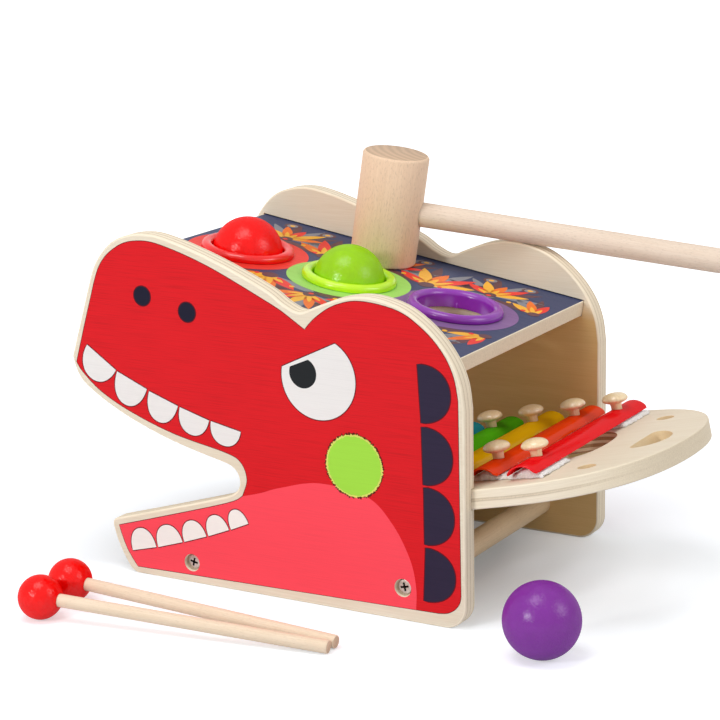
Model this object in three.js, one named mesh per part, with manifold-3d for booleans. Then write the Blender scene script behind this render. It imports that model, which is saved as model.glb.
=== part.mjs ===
// Xylophone pounding bench: two dinosaur-head side panels carry a sloping top board with three
// ball rings, and a xylophone tray slides in grooves below it. A hammer and two mallets go with it.
// Millimetres, +Z up. +X runs from the snout to the tray end, -Y is the left panel's side.
// Bench sizes count from the panels' rear edge (x = 0), the middle plane (y = 0) and the floor.

import * as THREE from 'three';
import { mergeVertices } from 'three/addons/utils/BufferGeometryUtils.js';
import Module from 'manifold-3d';

// Clearances
const SEAT_GAP = 0.3;
const SLIDE_GAP = 0.4;

// Side panels
const BENCH_WIDTH = 200;
const HEAD_LENGTH = 275.6;
const HEAD_HEIGHT = 218;
const PANEL_THICKNESS = 12;
const GROOVE_DEPTH = 4.3;
const FOOT_CORNER_RADIUS = 14;

// Top board
const BOARD_THICKNESS = 10;
const BOARD_LENGTH = 242;
const BOARD_SLOPE = THREE.MathUtils.degToRad(9.35);
const BOARD_REAR_X = -11;
const BOARD_REAR_Z = 158.3;

// Balls and rings
const BALL_DIAMETER = 45;
const RING_BORE_PLAY = 0.7;
const RING_WALL = 2.5;
const RING_FLANGE_DIAMETER = 60;
const RING_RIM_HEIGHT = 5.2;
const RING_RIM_ROUND = 3;
const RING_TUBE_DEPTH = 5.7;
const REAR_RING_SETBACK = 47.2;
const FRONT_RING_SETBACK = 43.2;
const NUB_RADIUS = 1.1;
const NUB_HEIGHT = 3.6;
const NUB_COUNT = 4;
const NUB_TURN = THREE.MathUtils.degToRad(23.5);

// Cross dowels and screws
const DOWEL_DIAMETER = 15;
const FRONT_DOWEL_X = -190.6;
const FRONT_DOWEL_Z = 13.1;
const REAR_DOWEL_X = -41.5;
const REAR_DOWEL_Z = 20.3;
const SCREW_HEAD_DIAMETER = 8.4;
const SCREW_HEAD_HEIGHT = 3.2;
const SCREW_HEAD_EDGE = 0.6;
const SCREW_SHANK_DIAMETER = 3.6;
const SCREW_LENGTH = 30;
const SCREW_RECESS = 2.2;
const SCREW_BORE_DIAMETER = 11;

// Xylophone tray, with lengths along its slope
const TRAY_THICKNESS = 12;
const TRAY_SLOPE = THREE.MathUtils.degToRad(12.5);
const TRAY_TOP_Z = 83.9;
const TRAY_TONGUE = 4;
const TRAY_FRONT = -182;
const TRAY_END_START = 12.5;
const TRAY_END_LENGTH = 88;
const TRAY_END_FULLNESS = 0.66;
const TRAY_FRONT_RADIUS = 6;
const TRAY_PUSH_IN = 58;
const MALLET_HOLE_DIAMETER = 11;
const MALLET_HOLE_X = 58.8;
const MALLET_HOLE_INSET = 33;
const GRIP_FLAT_X = 67.5;
const GRIP_DEPTH = 18.5;
const GRIP_HALF_WIDTH = 21.5;
const SOUND_HOLE_REAR = 45.5;
const SOUND_HOLE_SHOULDER = 15;
const SOUND_HOLE_HALF_WIDTH = 36;
const SOUND_HOLE_FRONT = -132;
const SOUND_HOLE_FRONT_RADIUS = 8;

// Tone bars, felt and pegs
const BAR_COUNT = 8;
const BAR_PITCH = 27.5;
const FIRST_BAR_X = 28;
const BAR_WIDTH = 20;
const BAR_RISE = 6;
const BAR_SHEET = 1.2;
const BAR_SIDE_ROOM = 6;
const PEG_SIDE_ROOM = 30;
const PEG_OFFSET_STEP = 4.4;
const FELT_THICKNESS = 2.7;
const FELT_WIDTH = 38;
const FELT_OVERHANG = 12;
const PEG_STEM_DIAMETER = 6.8;
const PEG_HEAD_DIAMETER = 16.4;
const PEG_HEAD_HEIGHT = 7;
const PEG_NECK = 3.2;
const PEG_SOCKET_DEPTH = 8;

// Hammer
const HAMMER_HEAD_DIAMETER = 43;
const HAMMER_HEAD_LENGTH = 72;
const HAMMER_HEAD_CHAMFER = 1.5;
const HANDLE_DIAMETER = 16;
const HANDLE_REACH = 195;
const HANDLE_SOCKET = 32;
const HAMMER_X = -140;
const HAMMER_SIDE_ROOM = 9.5;
const HAMMER_TURN = THREE.MathUtils.degToRad(22);

// Mallets and the loose ball on the floor
const MALLET_HEAD_DIAMETER = 27;
const MALLET_STICK_DIAMETER = 8;
const MALLET_REACH = 185;
const MALLET_SOCKET = 9;
const MALLET_END_X = -53;
const MALLET_END_ASIDE = 66.9;
const MALLET_END_GAP = 0.9;
const MALLET_A_TURN = THREE.MathUtils.degToRad(8.5);
const MALLET_B_TURN = THREE.MathUtils.degToRad(1.2);
const LOOSE_BALL_X = 56.8;
const LOOSE_BALL_ASIDE = 17.6;

// Facets round a full turn
const BALL_FACETS = 24;
const RING_FACETS = 28;
const PEG_FACETS = 12;
const ROD_FACETS = 24;
const BORE_FACETS = 18;
const SMALL_FACETS = 12;

// Worked-out sizes
const INNER_HALF = BENCH_WIDTH / 2 - PANEL_THICKNESS;
const BALL_RADIUS = BALL_DIAMETER / 2;
const RING_BORE = BALL_RADIUS + RING_BORE_PLAY;
const RING_TUBE = RING_BORE + RING_WALL;
const BOARD_HOLE = RING_TUBE + SEAT_GAP;
const TRAY_HALF = INNER_HALF + TRAY_TONGUE;
const BAR_END_RADIUS = 0.08 * BAR_WIDTH;
const BAR_BASE = SEAT_GAP + FELT_THICKNESS + SEAT_GAP;
const PEG_HEAD_BASE = BAR_BASE + BAR_RISE + PEG_NECK;
const PEG_HOLE = PEG_STEM_DIAMETER / 2 + SEAT_GAP;
const BOARD_HALF = INNER_HALF + GROOVE_DEPTH - SEAT_GAP;
const RING_PITCH = (BOARD_LENGTH - REAR_RING_SETBACK - FRONT_RING_SETBACK) / 2;
const MALLET_HOLE_Y = TRAY_HALF - MALLET_HOLE_INSET;
const WIDEST_PEG_OFFSET = INNER_HALF - PEG_SIDE_ROOM;
const HAMMER_Y = INNER_HALF - HAMMER_SIDE_ROOM - HAMMER_HEAD_DIAMETER / 2;

// Bars one octave apart have lengths in the ratio of one to the root of two.
const LONGEST_BAR = 2 * (INNER_HALF - BAR_SIDE_ROOM);
const SHORTEST_BAR = LONGEST_BAR * Math.SQRT1_2;

const wasm = await Module();
wasm.setup();

function solid(geometry) {
  const plain = geometry.clone();
  plain.deleteAttribute('normal');
  plain.deleteAttribute('uv');
  const merged = mergeVertices(plain, 1e-4);
  const vertProperties = new Float32Array(merged.attributes.position.array);
  const triVerts = new Uint32Array(merged.index.array);
  return new wasm.Manifold(new wasm.Mesh({ numProp: 3, vertProperties, triVerts }));
}

function geometryOf(manifold) {
  const mesh = manifold.getMesh();
  const geometry = new THREE.BufferGeometry();
  geometry.setAttribute('position', new THREE.BufferAttribute(mesh.vertProperties, 3));
  geometry.setIndex(new THREE.BufferAttribute(mesh.triVerts, 1));
  geometry.computeVertexNormals();
  return geometry;
}

function cut(geometry, tools) {
  let body = solid(geometry);
  for (const tool of tools) {
    body = body.subtract(solid(tool));
  }
  return geometryOf(body);
}

function join(geometry, additions) {
  let body = solid(geometry);
  for (const addition of additions) {
    body = body.add(solid(addition));
  }
  return geometryOf(body);
}

function material(colour, roughness, metalness = 0) {
  return new THREE.MeshStandardMaterial({ color: colour, roughness, metalness });
}

function piece(parent, name, geometry, look) {
  const mesh = new THREE.Mesh(geometry, look);
  mesh.name = name;
  parent.add(mesh);
  return mesh;
}

// A plate from an outline in plan, its underside at the given height.
function plate(shape, thickness, base, curveSegments) {
  const geometry = new THREE.ExtrudeGeometry(shape, {
    depth: thickness,
    bevelEnabled: false,
    curveSegments,
  });
  return geometry.translate(0, 0, base);
}

// A solid from an outline in the XZ plane, from y = start to y = start + depth.
function sideways(shape, depth, start, curveSegments) {
  const geometry = plate(shape, depth, 0, curveSegments);
  geometry.rotateX(Math.PI / 2);
  return geometry.translate(0, start + depth, 0);
}

function upright(radius, height, base, facets) {
  const geometry = new THREE.CylinderGeometry(radius, radius, height, facets);
  geometry.rotateX(Math.PI / 2);
  return geometry.translate(0, 0, base + height / 2);
}

function crosswise(radius, length, facets) {
  return new THREE.CylinderGeometry(radius, radius, length, facets);
}

const looks = {
  panel: material(0xdc1e26, 0.5),
  ply: material(0xf0e2c8, 0.6),
  board: material(0x4b526e, 0.5),
  rod: material(0xead2ae, 0.6),
  screw: material(0xc8beb4, 0.35, 0.9),
  red: material(0xf0140f, 0.25),
  green: material(0x96cd1e, 0.25),
  purple: material(0x781eaa, 0.25),
  felt: material(0xd8d4d0, 0.95),
  peg: material(0xf5d7af, 0.35),
  beech: material(0xe1be9b, 0.6),
  stick: material(0xfae1c3, 0.6),
};
const barColours = [0xe11923, 0xe13c14, 0xe1aa0a, 0x4ba019, 0x1ea0b4, 0x2850b4, 0x6e2d96, 0xd72d7d];

// A point of the panels' outline, as parts of the head's length from the rear and of its height.
function headPoint(along, up) {
  return new THREE.Vector2(-along * HEAD_LENGTH, up * HEAD_HEIGHT);
}

// Outline of a side panel: foot, chin, lower jaw, mouth, upper jaw, snout, dip, brow and back.
function headOutline() {
  const foot = FOOT_CORNER_RADIUS;
  const shape = new THREE.Shape();
  const line = (end) => shape.lineTo(end.x, end.y);
  const bend = (pull, end) => shape.quadraticCurveTo(pull.x, pull.y, end.x, end.y);
  const sweep = (first, last, end) => {
    shape.bezierCurveTo(first.x, first.y, last.x, last.y, end.x, end.y);
  };

  shape.moveTo(0, foot);
  shape.absarc(-foot, foot, foot, 0, -Math.PI / 2, true);
  line(headPoint(0.8382, 0));
  bend(headPoint(0.8545, 0), headPoint(0.8632, 0.0147));
  bend(headPoint(0.8962, 0.0711), headPoint(0.9071, 0.1353));
  bend(headPoint(0.9093, 0.1514), headPoint(0.8962, 0.1569));
  bend(headPoint(0.7438, 0.2133), headPoint(0.6023, 0.2688));
  sweep(headPoint(0.5751, 0.2798), headPoint(0.5573, 0.2959), headPoint(0.5581, 0.3211));
  sweep(headPoint(0.5588, 0.3486), headPoint(0.5733, 0.3647), headPoint(0.5951, 0.3706));
  shape.splineThru([
    headPoint(0.7402, 0.4147),
    headPoint(0.8708, 0.4761),
    headPoint(0.9724, 0.5528),
    headPoint(1, 0.6239),
  ]);
  line(headPoint(0.9488, 0.8257));
  shape.splineThru([
    headPoint(0.9234, 0.906),
    headPoint(0.8708, 0.9739),
    headPoint(0.7946, 1),
    headPoint(0.7148, 0.9862),
    headPoint(0.5951, 0.9381),
    headPoint(0.479, 0.8771),
    headPoint(0.4318, 0.8408),
    headPoint(0.3919, 0.8239),
    headPoint(0.3483, 0.8459),
    headPoint(0.2866, 0.8743),
    headPoint(0.2213, 0.8844),
    headPoint(0.1524, 0.867),
    headPoint(0.1016, 0.8326),
    headPoint(0.0581, 0.7844),
    headPoint(0.0254, 0.728),
    headPoint(0.0073, 0.6697),
    headPoint(0, 0.6055),
  ]);
  return shape;
}

const OUTLINE_SEGMENTS = 3;
const outline = headOutline();

function boardTop(x) {
  return BOARD_REAR_Z + (BOARD_REAR_X - x) * Math.tan(BOARD_SLOPE);
}

// Places a tool made in the board's or the tray's own frame into the bench frame.
function inBoardFrame(geometry) {
  geometry.rotateY(BOARD_SLOPE);
  return geometry.translate(BOARD_REAR_X, 0, BOARD_REAR_Z);
}

function inTrayFrame(geometry) {
  geometry.rotateY(-TRAY_SLOPE);
  return geometry.translate(0, 0, TRAY_TOP_Z);
}

const dowelPlaces = [
  { end: 'front', x: FRONT_DOWEL_X, z: FRONT_DOWEL_Z },
  { end: 'rear', x: REAR_DOWEL_X, z: REAR_DOWEL_Z },
];

function sidePanel(side) {
  const inner = side * INNER_HALF;
  const start = Math.min(inner, side * BENCH_WIDTH / 2);
  const body = sideways(outline, PANEL_THICKNESS, start, OUTLINE_SEGMENTS);
  const middle = inner + side * GROOVE_DEPTH / 2;
  const overrun = 2;
  const depth = GROOVE_DEPTH + overrun;
  const grooveY = middle - side * overrun / 2;

  const boardGroove = new THREE.BoxGeometry(
    BOARD_LENGTH + 2 * SEAT_GAP,
    depth,
    BOARD_THICKNESS + 2 * SEAT_GAP,
  );
  boardGroove.translate(-BOARD_LENGTH / 2, grooveY, -BOARD_THICKNESS / 2);

  const stop = TRAY_FRONT - TRAY_PUSH_IN - SLIDE_GAP;
  const rearRun = 40;
  const trayGroove = new THREE.BoxGeometry(rearRun - stop, depth, TRAY_THICKNESS + 2 * SLIDE_GAP);
  trayGroove.translate((rearRun + stop) / 2, grooveY, -TRAY_THICKNESS / 2);

  const tools = [inBoardFrame(boardGroove), inTrayFrame(trayGroove)];
  for (const { x, z } of dowelPlaces) {
    const hole = crosswise(SCREW_SHANK_DIAMETER / 2 + SEAT_GAP, PANEL_THICKNESS * 2, SMALL_FACETS);
    hole.translate(x, side * BENCH_WIDTH / 2, z);
    tools.push(hole);
    tools.push(placeScrew(screwSeat(), side, x, z));
  }
  return cut(body, tools);
}

// A counterbored seat for a screw, revolved about Y with the outer face of the panel at y = 0 and
// the shank towards -Y.
function screwSeat() {
  const head = SCREW_HEAD_DIAMETER / 2 + SEAT_GAP;
  const neck = SCREW_SHANK_DIAMETER / 2 + SEAT_GAP;
  const bore = SCREW_BORE_DIAMETER / 2;
  const drop = SCREW_RECESS + SCREW_HEAD_HEIGHT + SEAT_GAP;
  const profile = [
    new THREE.Vector2(0, -drop),
    new THREE.Vector2(neck, -drop),
    new THREE.Vector2(head, -SCREW_RECESS - SCREW_HEAD_EDGE),
    new THREE.Vector2(bore, -SCREW_RECESS - SCREW_HEAD_EDGE),
    new THREE.Vector2(bore, 2),
    new THREE.Vector2(0, 2),
  ];
  return new THREE.LatheGeometry(profile, BORE_FACETS);
}

function screw() {
  const head = SCREW_HEAD_DIAMETER / 2;
  const shank = SCREW_SHANK_DIAMETER / 2;
  const top = -SCREW_RECESS;
  const neck = top - SCREW_HEAD_HEIGHT;
  const tip = top - SCREW_LENGTH;
  const profile = [
    new THREE.Vector2(0, tip),
    new THREE.Vector2(shank, tip + 2 * shank),
    new THREE.Vector2(shank, neck),
    new THREE.Vector2(head, top - SCREW_HEAD_EDGE),
    new THREE.Vector2(head, top),
    new THREE.Vector2(0, top),
  ];
  return new THREE.LatheGeometry(profile, SMALL_FACETS);
}

function placeScrew(geometry, side, x, z) {
  if (side < 0) {
    geometry.rotateX(Math.PI);
  }
  return geometry.translate(x, side * BENCH_WIDTH / 2, z);
}

function crossDowel({ x, z }) {
  const body = crosswise(DOWEL_DIAMETER / 2, 2 * INNER_HALF, ROD_FACETS);
  const drilled = SCREW_LENGTH + SCREW_RECESS - PANEL_THICKNESS + 2;
  const tools = [-1, 1].map((side) => {
    const hole = crosswise(SCREW_SHANK_DIAMETER / 2 + SEAT_GAP, 2 * drilled, SMALL_FACETS);
    return hole.translate(0, side * INNER_HALF, 0);
  });
  return cut(body, tools).translate(x, 0, z);
}

// Rings stand on the board from the tail end: purple, green, red.
const ringPlaces = [2, 1, 0].map((step) => -REAR_RING_SETBACK - step * RING_PITCH);

function topBoard() {
  const shape = new THREE.Shape();
  shape.moveTo(-BOARD_LENGTH, -BOARD_HALF);
  shape.lineTo(0, -BOARD_HALF);
  shape.lineTo(0, BOARD_HALF);
  shape.lineTo(-BOARD_LENGTH, BOARD_HALF);
  for (const x of ringPlaces) {
    const hole = new THREE.Path();
    hole.absarc(x, 0, BOARD_HOLE, 0, Math.PI * 2, true);
    shape.holes.push(hole);
  }
  return plate(shape, BOARD_THICKNESS, -BOARD_THICKNESS, RING_FACETS / 2);
}

// A tube into the board with a rounded flange on it, and nubs that hold the ball.
function ring() {
  const flange = RING_FLANGE_DIAMETER / 2;
  const round = RING_RIM_ROUND;
  const steps = 3;
  const profile = [new THREE.Vector2(RING_TUBE, -RING_TUBE_DEPTH), new THREE.Vector2(RING_TUBE, SEAT_GAP)];
  profile.push(new THREE.Vector2(flange, SEAT_GAP));
  for (let step = 0; step <= steps; step += 1) {
    const angle = step / steps * Math.PI / 2;
    const r = flange - round + round * Math.cos(angle);
    profile.push(new THREE.Vector2(r, RING_RIM_HEIGHT - round + round * Math.sin(angle)));
  }
  for (let step = 0; step <= steps; step += 1) {
    const angle = step / steps * Math.PI / 2;
    const r = RING_BORE + round - round * Math.sin(angle);
    profile.push(new THREE.Vector2(r, RING_RIM_HEIGHT - round + round * Math.cos(angle)));
  }
  profile.push(new THREE.Vector2(RING_BORE, -RING_TUBE_DEPTH));
  profile.push(profile[0].clone());
  const body = new THREE.LatheGeometry(profile, RING_FACETS);
  body.rotateX(Math.PI / 2);

  const nubs = [];
  for (let index = 0; index < NUB_COUNT; index += 1) {
    const angle = NUB_TURN + index / NUB_COUNT * Math.PI * 2;
    const reach = BALL_RADIUS + SEAT_GAP + NUB_RADIUS;
    const nub = upright(NUB_RADIUS, NUB_HEIGHT, -RING_TUBE_DEPTH, 8);
    nubs.push(nub.translate(reach * Math.cos(angle), reach * Math.sin(angle), 0));
  }
  return join(body, nubs);
}

function ball() {
  return new THREE.SphereGeometry(BALL_RADIUS, BALL_FACETS, BALL_FACETS / 2);
}

function barX(index) {
  return FIRST_BAR_X - index * BAR_PITCH;
}

function pegOffset(x) {
  return WIDEST_PEG_OFFSET - (FIRST_BAR_X - x) / BAR_PITCH * PEG_OFFSET_STEP;
}

const pegPlaces = [];
for (let index = 0; index < BAR_COUNT; index += 1) {
  const x = barX(index);
  for (const side of [-1, 1]) {
    pegPlaces.push({ number: index + 1, side, x, y: side * pegOffset(x) });
  }
}

function soundHole() {
  const path = new THREE.Path();
  const half = SOUND_HOLE_HALF_WIDTH;
  const reach = (SOUND_HOLE_REAR - SOUND_HOLE_SHOULDER) * 0.75;
  const pull = half * 0.72;
  path.moveTo(SOUND_HOLE_SHOULDER, -half);
  path.bezierCurveTo(SOUND_HOLE_SHOULDER + reach, -half, SOUND_HOLE_REAR, -pull, SOUND_HOLE_REAR, 0);
  path.bezierCurveTo(SOUND_HOLE_REAR, pull, SOUND_HOLE_SHOULDER + reach, half, SOUND_HOLE_SHOULDER, half);
  path.absarc(SOUND_HOLE_FRONT, 0, SOUND_HOLE_FRONT_RADIUS, Math.PI / 2, Math.PI * 1.5, false);
  path.closePath();
  return path;
}

function gripHole() {
  const path = new THREE.Path();
  path.absellipse(GRIP_FLAT_X, 0, GRIP_DEPTH, GRIP_HALF_WIDTH, -Math.PI / 2, Math.PI / 2, false, 0);
  path.closePath();
  return path;
}

function xylophoneTray() {
  const tip = TRAY_END_START + TRAY_END_LENGTH;
  const reach = TRAY_END_START + TRAY_END_LENGTH * TRAY_END_FULLNESS;
  const pull = TRAY_HALF * TRAY_END_FULLNESS;
  const corner = TRAY_FRONT_RADIUS;
  const shape = new THREE.Shape();
  shape.moveTo(TRAY_END_START, -TRAY_HALF);
  shape.bezierCurveTo(reach, -TRAY_HALF, tip, -pull, tip, 0);
  shape.bezierCurveTo(tip, pull, reach, TRAY_HALF, TRAY_END_START, TRAY_HALF);
  shape.absarc(TRAY_FRONT + corner, TRAY_HALF - corner, corner, Math.PI / 2, Math.PI, false);
  shape.absarc(TRAY_FRONT + corner, corner - TRAY_HALF, corner, Math.PI, Math.PI * 1.5, false);
  shape.closePath();
  shape.holes.push(soundHole(), gripHole());
  for (const side of [-1, 1]) {
    const hole = new THREE.Path();
    hole.absarc(MALLET_HOLE_X, side * MALLET_HOLE_Y, MALLET_HOLE_DIAMETER / 2, 0, Math.PI * 2, true);
    shape.holes.push(hole);
  }
  const body = plate(shape, TRAY_THICKNESS, -TRAY_THICKNESS, 8);
  const sockets = pegPlaces.map(({ x, y }) => {
    const socket = upright(PEG_HOLE, PEG_SOCKET_DEPTH + 2, -PEG_SOCKET_DEPTH, SMALL_FACETS);
    return socket.translate(x, y, 0);
  });
  return cut(body, sockets);
}

function feltStrip(side) {
  const rear = barX(0) + FELT_OVERHANG;
  const front = barX(BAR_COUNT - 1) - FELT_OVERHANG;
  const half = FELT_WIDTH / 2;
  const shape = new THREE.Shape();
  shape.moveTo(front, pegOffset(front) - half);
  shape.lineTo(rear, pegOffset(rear) - half);
  shape.lineTo(rear, pegOffset(rear) + half);
  shape.lineTo(front, pegOffset(front) + half);
  for (let index = 0; index < BAR_COUNT; index += 1) {
    const hole = new THREE.Path();
    hole.absarc(barX(index), pegOffset(barX(index)), PEG_HOLE, 0, Math.PI * 2, true);
    shape.holes.push(hole);
  }
  const geometry = plate(shape, FELT_THICKNESS, 0, SMALL_FACETS / 2);
  if (side < 0) {
    geometry.rotateX(Math.PI);
    geometry.translate(0, 0, FELT_THICKNESS);
  }
  return geometry.translate(0, 0, SEAT_GAP);
}

function barLength(index) {
  return LONGEST_BAR + (SHORTEST_BAR - LONGEST_BAR) * index / (BAR_COUNT - 1);
}

// An arched strip with rounded ends and two holes for its pegs.
function toneBar(index) {
  const length = barLength(index);
  const half = BAR_WIDTH / 2;
  const radius = (half * half + BAR_RISE * BAR_RISE) / (2 * BAR_RISE);
  const centre = BAR_RISE - radius;
  const inner = radius - BAR_SHEET;
  const outerAngle = Math.acos(-centre / radius);
  const innerAngle = Math.acos(-centre / inner);
  const quarter = Math.PI / 2;
  const arch = new THREE.Shape();
  arch.absarc(0, centre, radius, quarter - outerAngle, quarter + outerAngle, false);
  arch.absarc(0, centre, inner, quarter + innerAngle, quarter - innerAngle, true);
  arch.closePath();
  const strip = sideways(arch, length, -length / 2, 4);

  const end = length / 2;
  const corner = BAR_END_RADIUS;
  const plan = new THREE.Shape();
  plan.absarc(half - corner, end - corner, corner, 0, quarter, false);
  plan.absarc(corner - half, end - corner, corner, quarter, Math.PI, false);
  plan.absarc(corner - half, corner - end, corner, Math.PI, 3 * quarter, false);
  plan.absarc(half - corner, corner - end, corner, 3 * quarter, 4 * quarter, false);
  plan.closePath();
  const trim = plate(plan, BAR_RISE + 2, -1, 2);
  const x = barX(index);
  let body = solid(strip).intersect(solid(trim));
  for (const side of [-1, 1]) {
    const hole = upright(PEG_HOLE, BAR_RISE + 2, -1, SMALL_FACETS);
    body = body.subtract(solid(hole.translate(0, side * pegOffset(x), 0)));
  }
  return geometryOf(body).translate(x, 0, BAR_BASE);
}

// A mushroom-headed peg, its stem set in the tray.
function peg() {
  const stem = PEG_STEM_DIAMETER / 2;
  const head = PEG_HEAD_DIAMETER / 2;
  const foot = SEAT_GAP - PEG_SOCKET_DEPTH;
  const middle = PEG_HEAD_BASE + PEG_HEAD_HEIGHT / 2;
  const profile = [new THREE.Vector2(0, foot), new THREE.Vector2(stem, foot)];
  const steps = 6;
  const start = Math.asin(stem / head);
  for (let step = 0; step <= steps; step += 1) {
    const angle = start + (Math.PI - start) * step / steps;
    const r = step === steps ? 0 : head * Math.sin(angle);
    profile.push(new THREE.Vector2(r, middle - PEG_HEAD_HEIGHT / 2 * Math.cos(angle)));
  }
  const geometry = new THREE.LatheGeometry(profile, PEG_FACETS);
  return geometry.rotateX(Math.PI / 2);
}

// How far the panels' brow stands above the board, square to it.
function browRise() {
  const points = outline.getPoints(OUTLINE_SEGMENTS).filter((point) => point.x > HAMMER_X);
  const rises = points.map((point) => point.y - boardTop(point.x));
  return Math.max(...rises) * Math.cos(BOARD_SLOPE);
}

// Height of the handle above the head's lower face, so that the handle rests on the brow while
// the head stands on the board with the same gap.
const HANDLE_HEIGHT = browRise() + HANDLE_DIAMETER / 2;

function hammerHead() {
  const radius = HAMMER_HEAD_DIAMETER / 2;
  const chamfer = HAMMER_HEAD_CHAMFER;
  const top = HAMMER_HEAD_LENGTH;
  const profile = [
    new THREE.Vector2(0, 0),
    new THREE.Vector2(radius - chamfer, 0),
    new THREE.Vector2(radius, chamfer),
    new THREE.Vector2(radius, top - chamfer),
    new THREE.Vector2(radius - chamfer, top),
    new THREE.Vector2(0, top),
  ];
  const body = new THREE.LatheGeometry(profile, ROD_FACETS);
  body.rotateX(Math.PI / 2);
  const socket = new THREE.CylinderGeometry(
    HANDLE_DIAMETER / 2 + SEAT_GAP,
    HANDLE_DIAMETER / 2 + SEAT_GAP,
    HANDLE_SOCKET + radius,
    ROD_FACETS,
  );
  socket.rotateZ(Math.PI / 2);
  socket.translate(radius - HANDLE_SOCKET + (HANDLE_SOCKET + radius) / 2, 0, HANDLE_HEIGHT);
  return cut(body, [socket]);
}

function hammerHandle() {
  const start = HAMMER_HEAD_DIAMETER / 2 - HANDLE_SOCKET + SEAT_GAP;
  const end = HAMMER_HEAD_DIAMETER / 2 + HANDLE_REACH;
  const radius = HANDLE_DIAMETER / 2;
  const geometry = new THREE.CylinderGeometry(radius, radius, end - start, ROD_FACETS);
  geometry.rotateZ(Math.PI / 2);
  return geometry.translate((start + end) / 2, 0, HANDLE_HEIGHT);
}

// A mallet lies along +X from the centre of its head.
function malletHead() {
  const body = new THREE.SphereGeometry(MALLET_HEAD_DIAMETER / 2, 16, 10);
  const socket = new THREE.CylinderGeometry(
    MALLET_STICK_DIAMETER / 2 + SEAT_GAP,
    MALLET_STICK_DIAMETER / 2 + SEAT_GAP,
    MALLET_HEAD_DIAMETER,
    SMALL_FACETS,
  );
  socket.rotateZ(Math.PI / 2);
  const start = MALLET_HEAD_DIAMETER / 2 - MALLET_SOCKET - SEAT_GAP;
  socket.translate(start + MALLET_HEAD_DIAMETER / 2, 0, 0);
  return cut(body, [socket]);
}

function malletStick() {
  const start = MALLET_HEAD_DIAMETER / 2 - MALLET_SOCKET;
  const radius = MALLET_STICK_DIAMETER / 2;
  const geometry = new THREE.CylinderGeometry(radius, radius, MALLET_REACH - start, SMALL_FACETS);
  geometry.rotateZ(Math.PI / 2);
  return geometry.translate((start + MALLET_REACH) / 2, 0, 0);
}

const bench = new THREE.Group();

for (const [side, name] of [[-1, 'left'], [1, 'right']]) {
  piece(bench, `${name}_side_panel`, sidePanel(side), looks.panel);
  for (const { end, x, z } of dowelPlaces) {
    piece(bench, `screw_${name}_${end}`, placeScrew(screw(), side, x, z), looks.screw);
  }
}
for (const place of dowelPlaces) {
  piece(bench, `${place.end}_cross_dowel`, crossDowel(place), looks.rod);
}

const board = new THREE.Group();
board.position.set(BOARD_REAR_X, 0, BOARD_REAR_Z);
board.rotation.y = BOARD_SLOPE;
bench.add(board);
piece(board, 'top_board', topBoard(), looks.board);
const ringNames = ['red', 'green', 'purple'];
ringPlaces.forEach((x, index) => {
  const colour = ringNames[index];
  piece(board, `${colour}_ring`, ring(), looks[colour]).position.x = x;
  if (colour !== 'purple') {
    piece(board, `${colour}_ball`, ball(), looks[colour]).position.x = x;
  }
});

const hammer = new THREE.Group();
hammer.position.set((HAMMER_X - BOARD_REAR_X) / Math.cos(BOARD_SLOPE), HAMMER_Y, SEAT_GAP);
hammer.rotation.z = HAMMER_TURN;
board.add(hammer);
piece(hammer, 'hammer_head', hammerHead(), looks.beech);
piece(hammer, 'hammer_handle', hammerHandle(), looks.stick);

const tray = new THREE.Group();
tray.position.z = TRAY_TOP_Z;
tray.rotation.y = -TRAY_SLOPE;
bench.add(tray);
piece(tray, 'xylophone_tray', xylophoneTray(), looks.ply);
piece(tray, 'left_felt_strip', feltStrip(-1), looks.felt);
piece(tray, 'right_felt_strip', feltStrip(1), looks.felt);
for (let index = 0; index < BAR_COUNT; index += 1) {
  piece(tray, `tone_bar_${index + 1}`, toneBar(index), material(barColours[index], 0.25, 0.3));
}
for (const { number, side, x, y } of pegPlaces) {
  const name = `${side < 0 ? 'left' : 'right'}_peg_${number}`;
  piece(tray, name, peg(), looks.peg).position.set(x, y, 0);
}

const looseBallY = -BENCH_WIDTH / 2 - LOOSE_BALL_ASIDE;
piece(bench, 'purple_ball', ball(), looks.purple).position.set(LOOSE_BALL_X, looseBallY, BALL_RADIUS);

// The mallets lie with the ends of their sticks side by side.
const mallets = [
  { letter: 'a', turn: MALLET_A_TURN, shift: 0 },
  { letter: 'b', turn: MALLET_B_TURN, shift: MALLET_STICK_DIAMETER + MALLET_END_GAP },
];
for (const { letter, turn, shift } of mallets) {
  const mallet = new THREE.Group();
  const drop = (MALLET_HEAD_DIAMETER - MALLET_STICK_DIAMETER) / 2 - SEAT_GAP;
  const tilt = Math.asin(drop / MALLET_REACH);
  const run = MALLET_REACH * Math.cos(tilt);
  const endY = -BENCH_WIDTH / 2 - MALLET_END_ASIDE + shift;
  mallet.position.set(
    MALLET_END_X - run * Math.cos(turn),
    endY - run * Math.sin(turn),
    MALLET_HEAD_DIAMETER / 2,
  );
  mallet.rotation.order = 'ZYX';
  mallet.rotation.z = turn;
  mallet.rotation.y = tilt;
  bench.add(mallet);
  piece(mallet, `mallet_head_${letter}`, malletHead(), looks.red);
  piece(mallet, `mallet_stick_${letter}`, malletStick(), looks.stick);
}

// The origin lies on the floor under the middle of everything.
bench.updateMatrixWorld(true);
const box = new THREE.Box3().setFromObject(bench, true);
const middle = box.getCenter(new THREE.Vector3());
bench.position.set(-middle.x, -middle.y, -box.min.z);

export default bench;
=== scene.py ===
"""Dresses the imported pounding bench: a printed plywood head with rings and balls, a xylophone tray,
a hammer and two mallets, on a plain stage."""

import math

import bmesh
import bpy
from bpy.props import FloatProperty, FloatVectorProperty, IntProperty, PointerProperty
from bpy.types import Operator, Panel, PropertyGroup
from mathutils import Matrix, Vector, noise
from mathutils.geometry import interpolate_bezier


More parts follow.
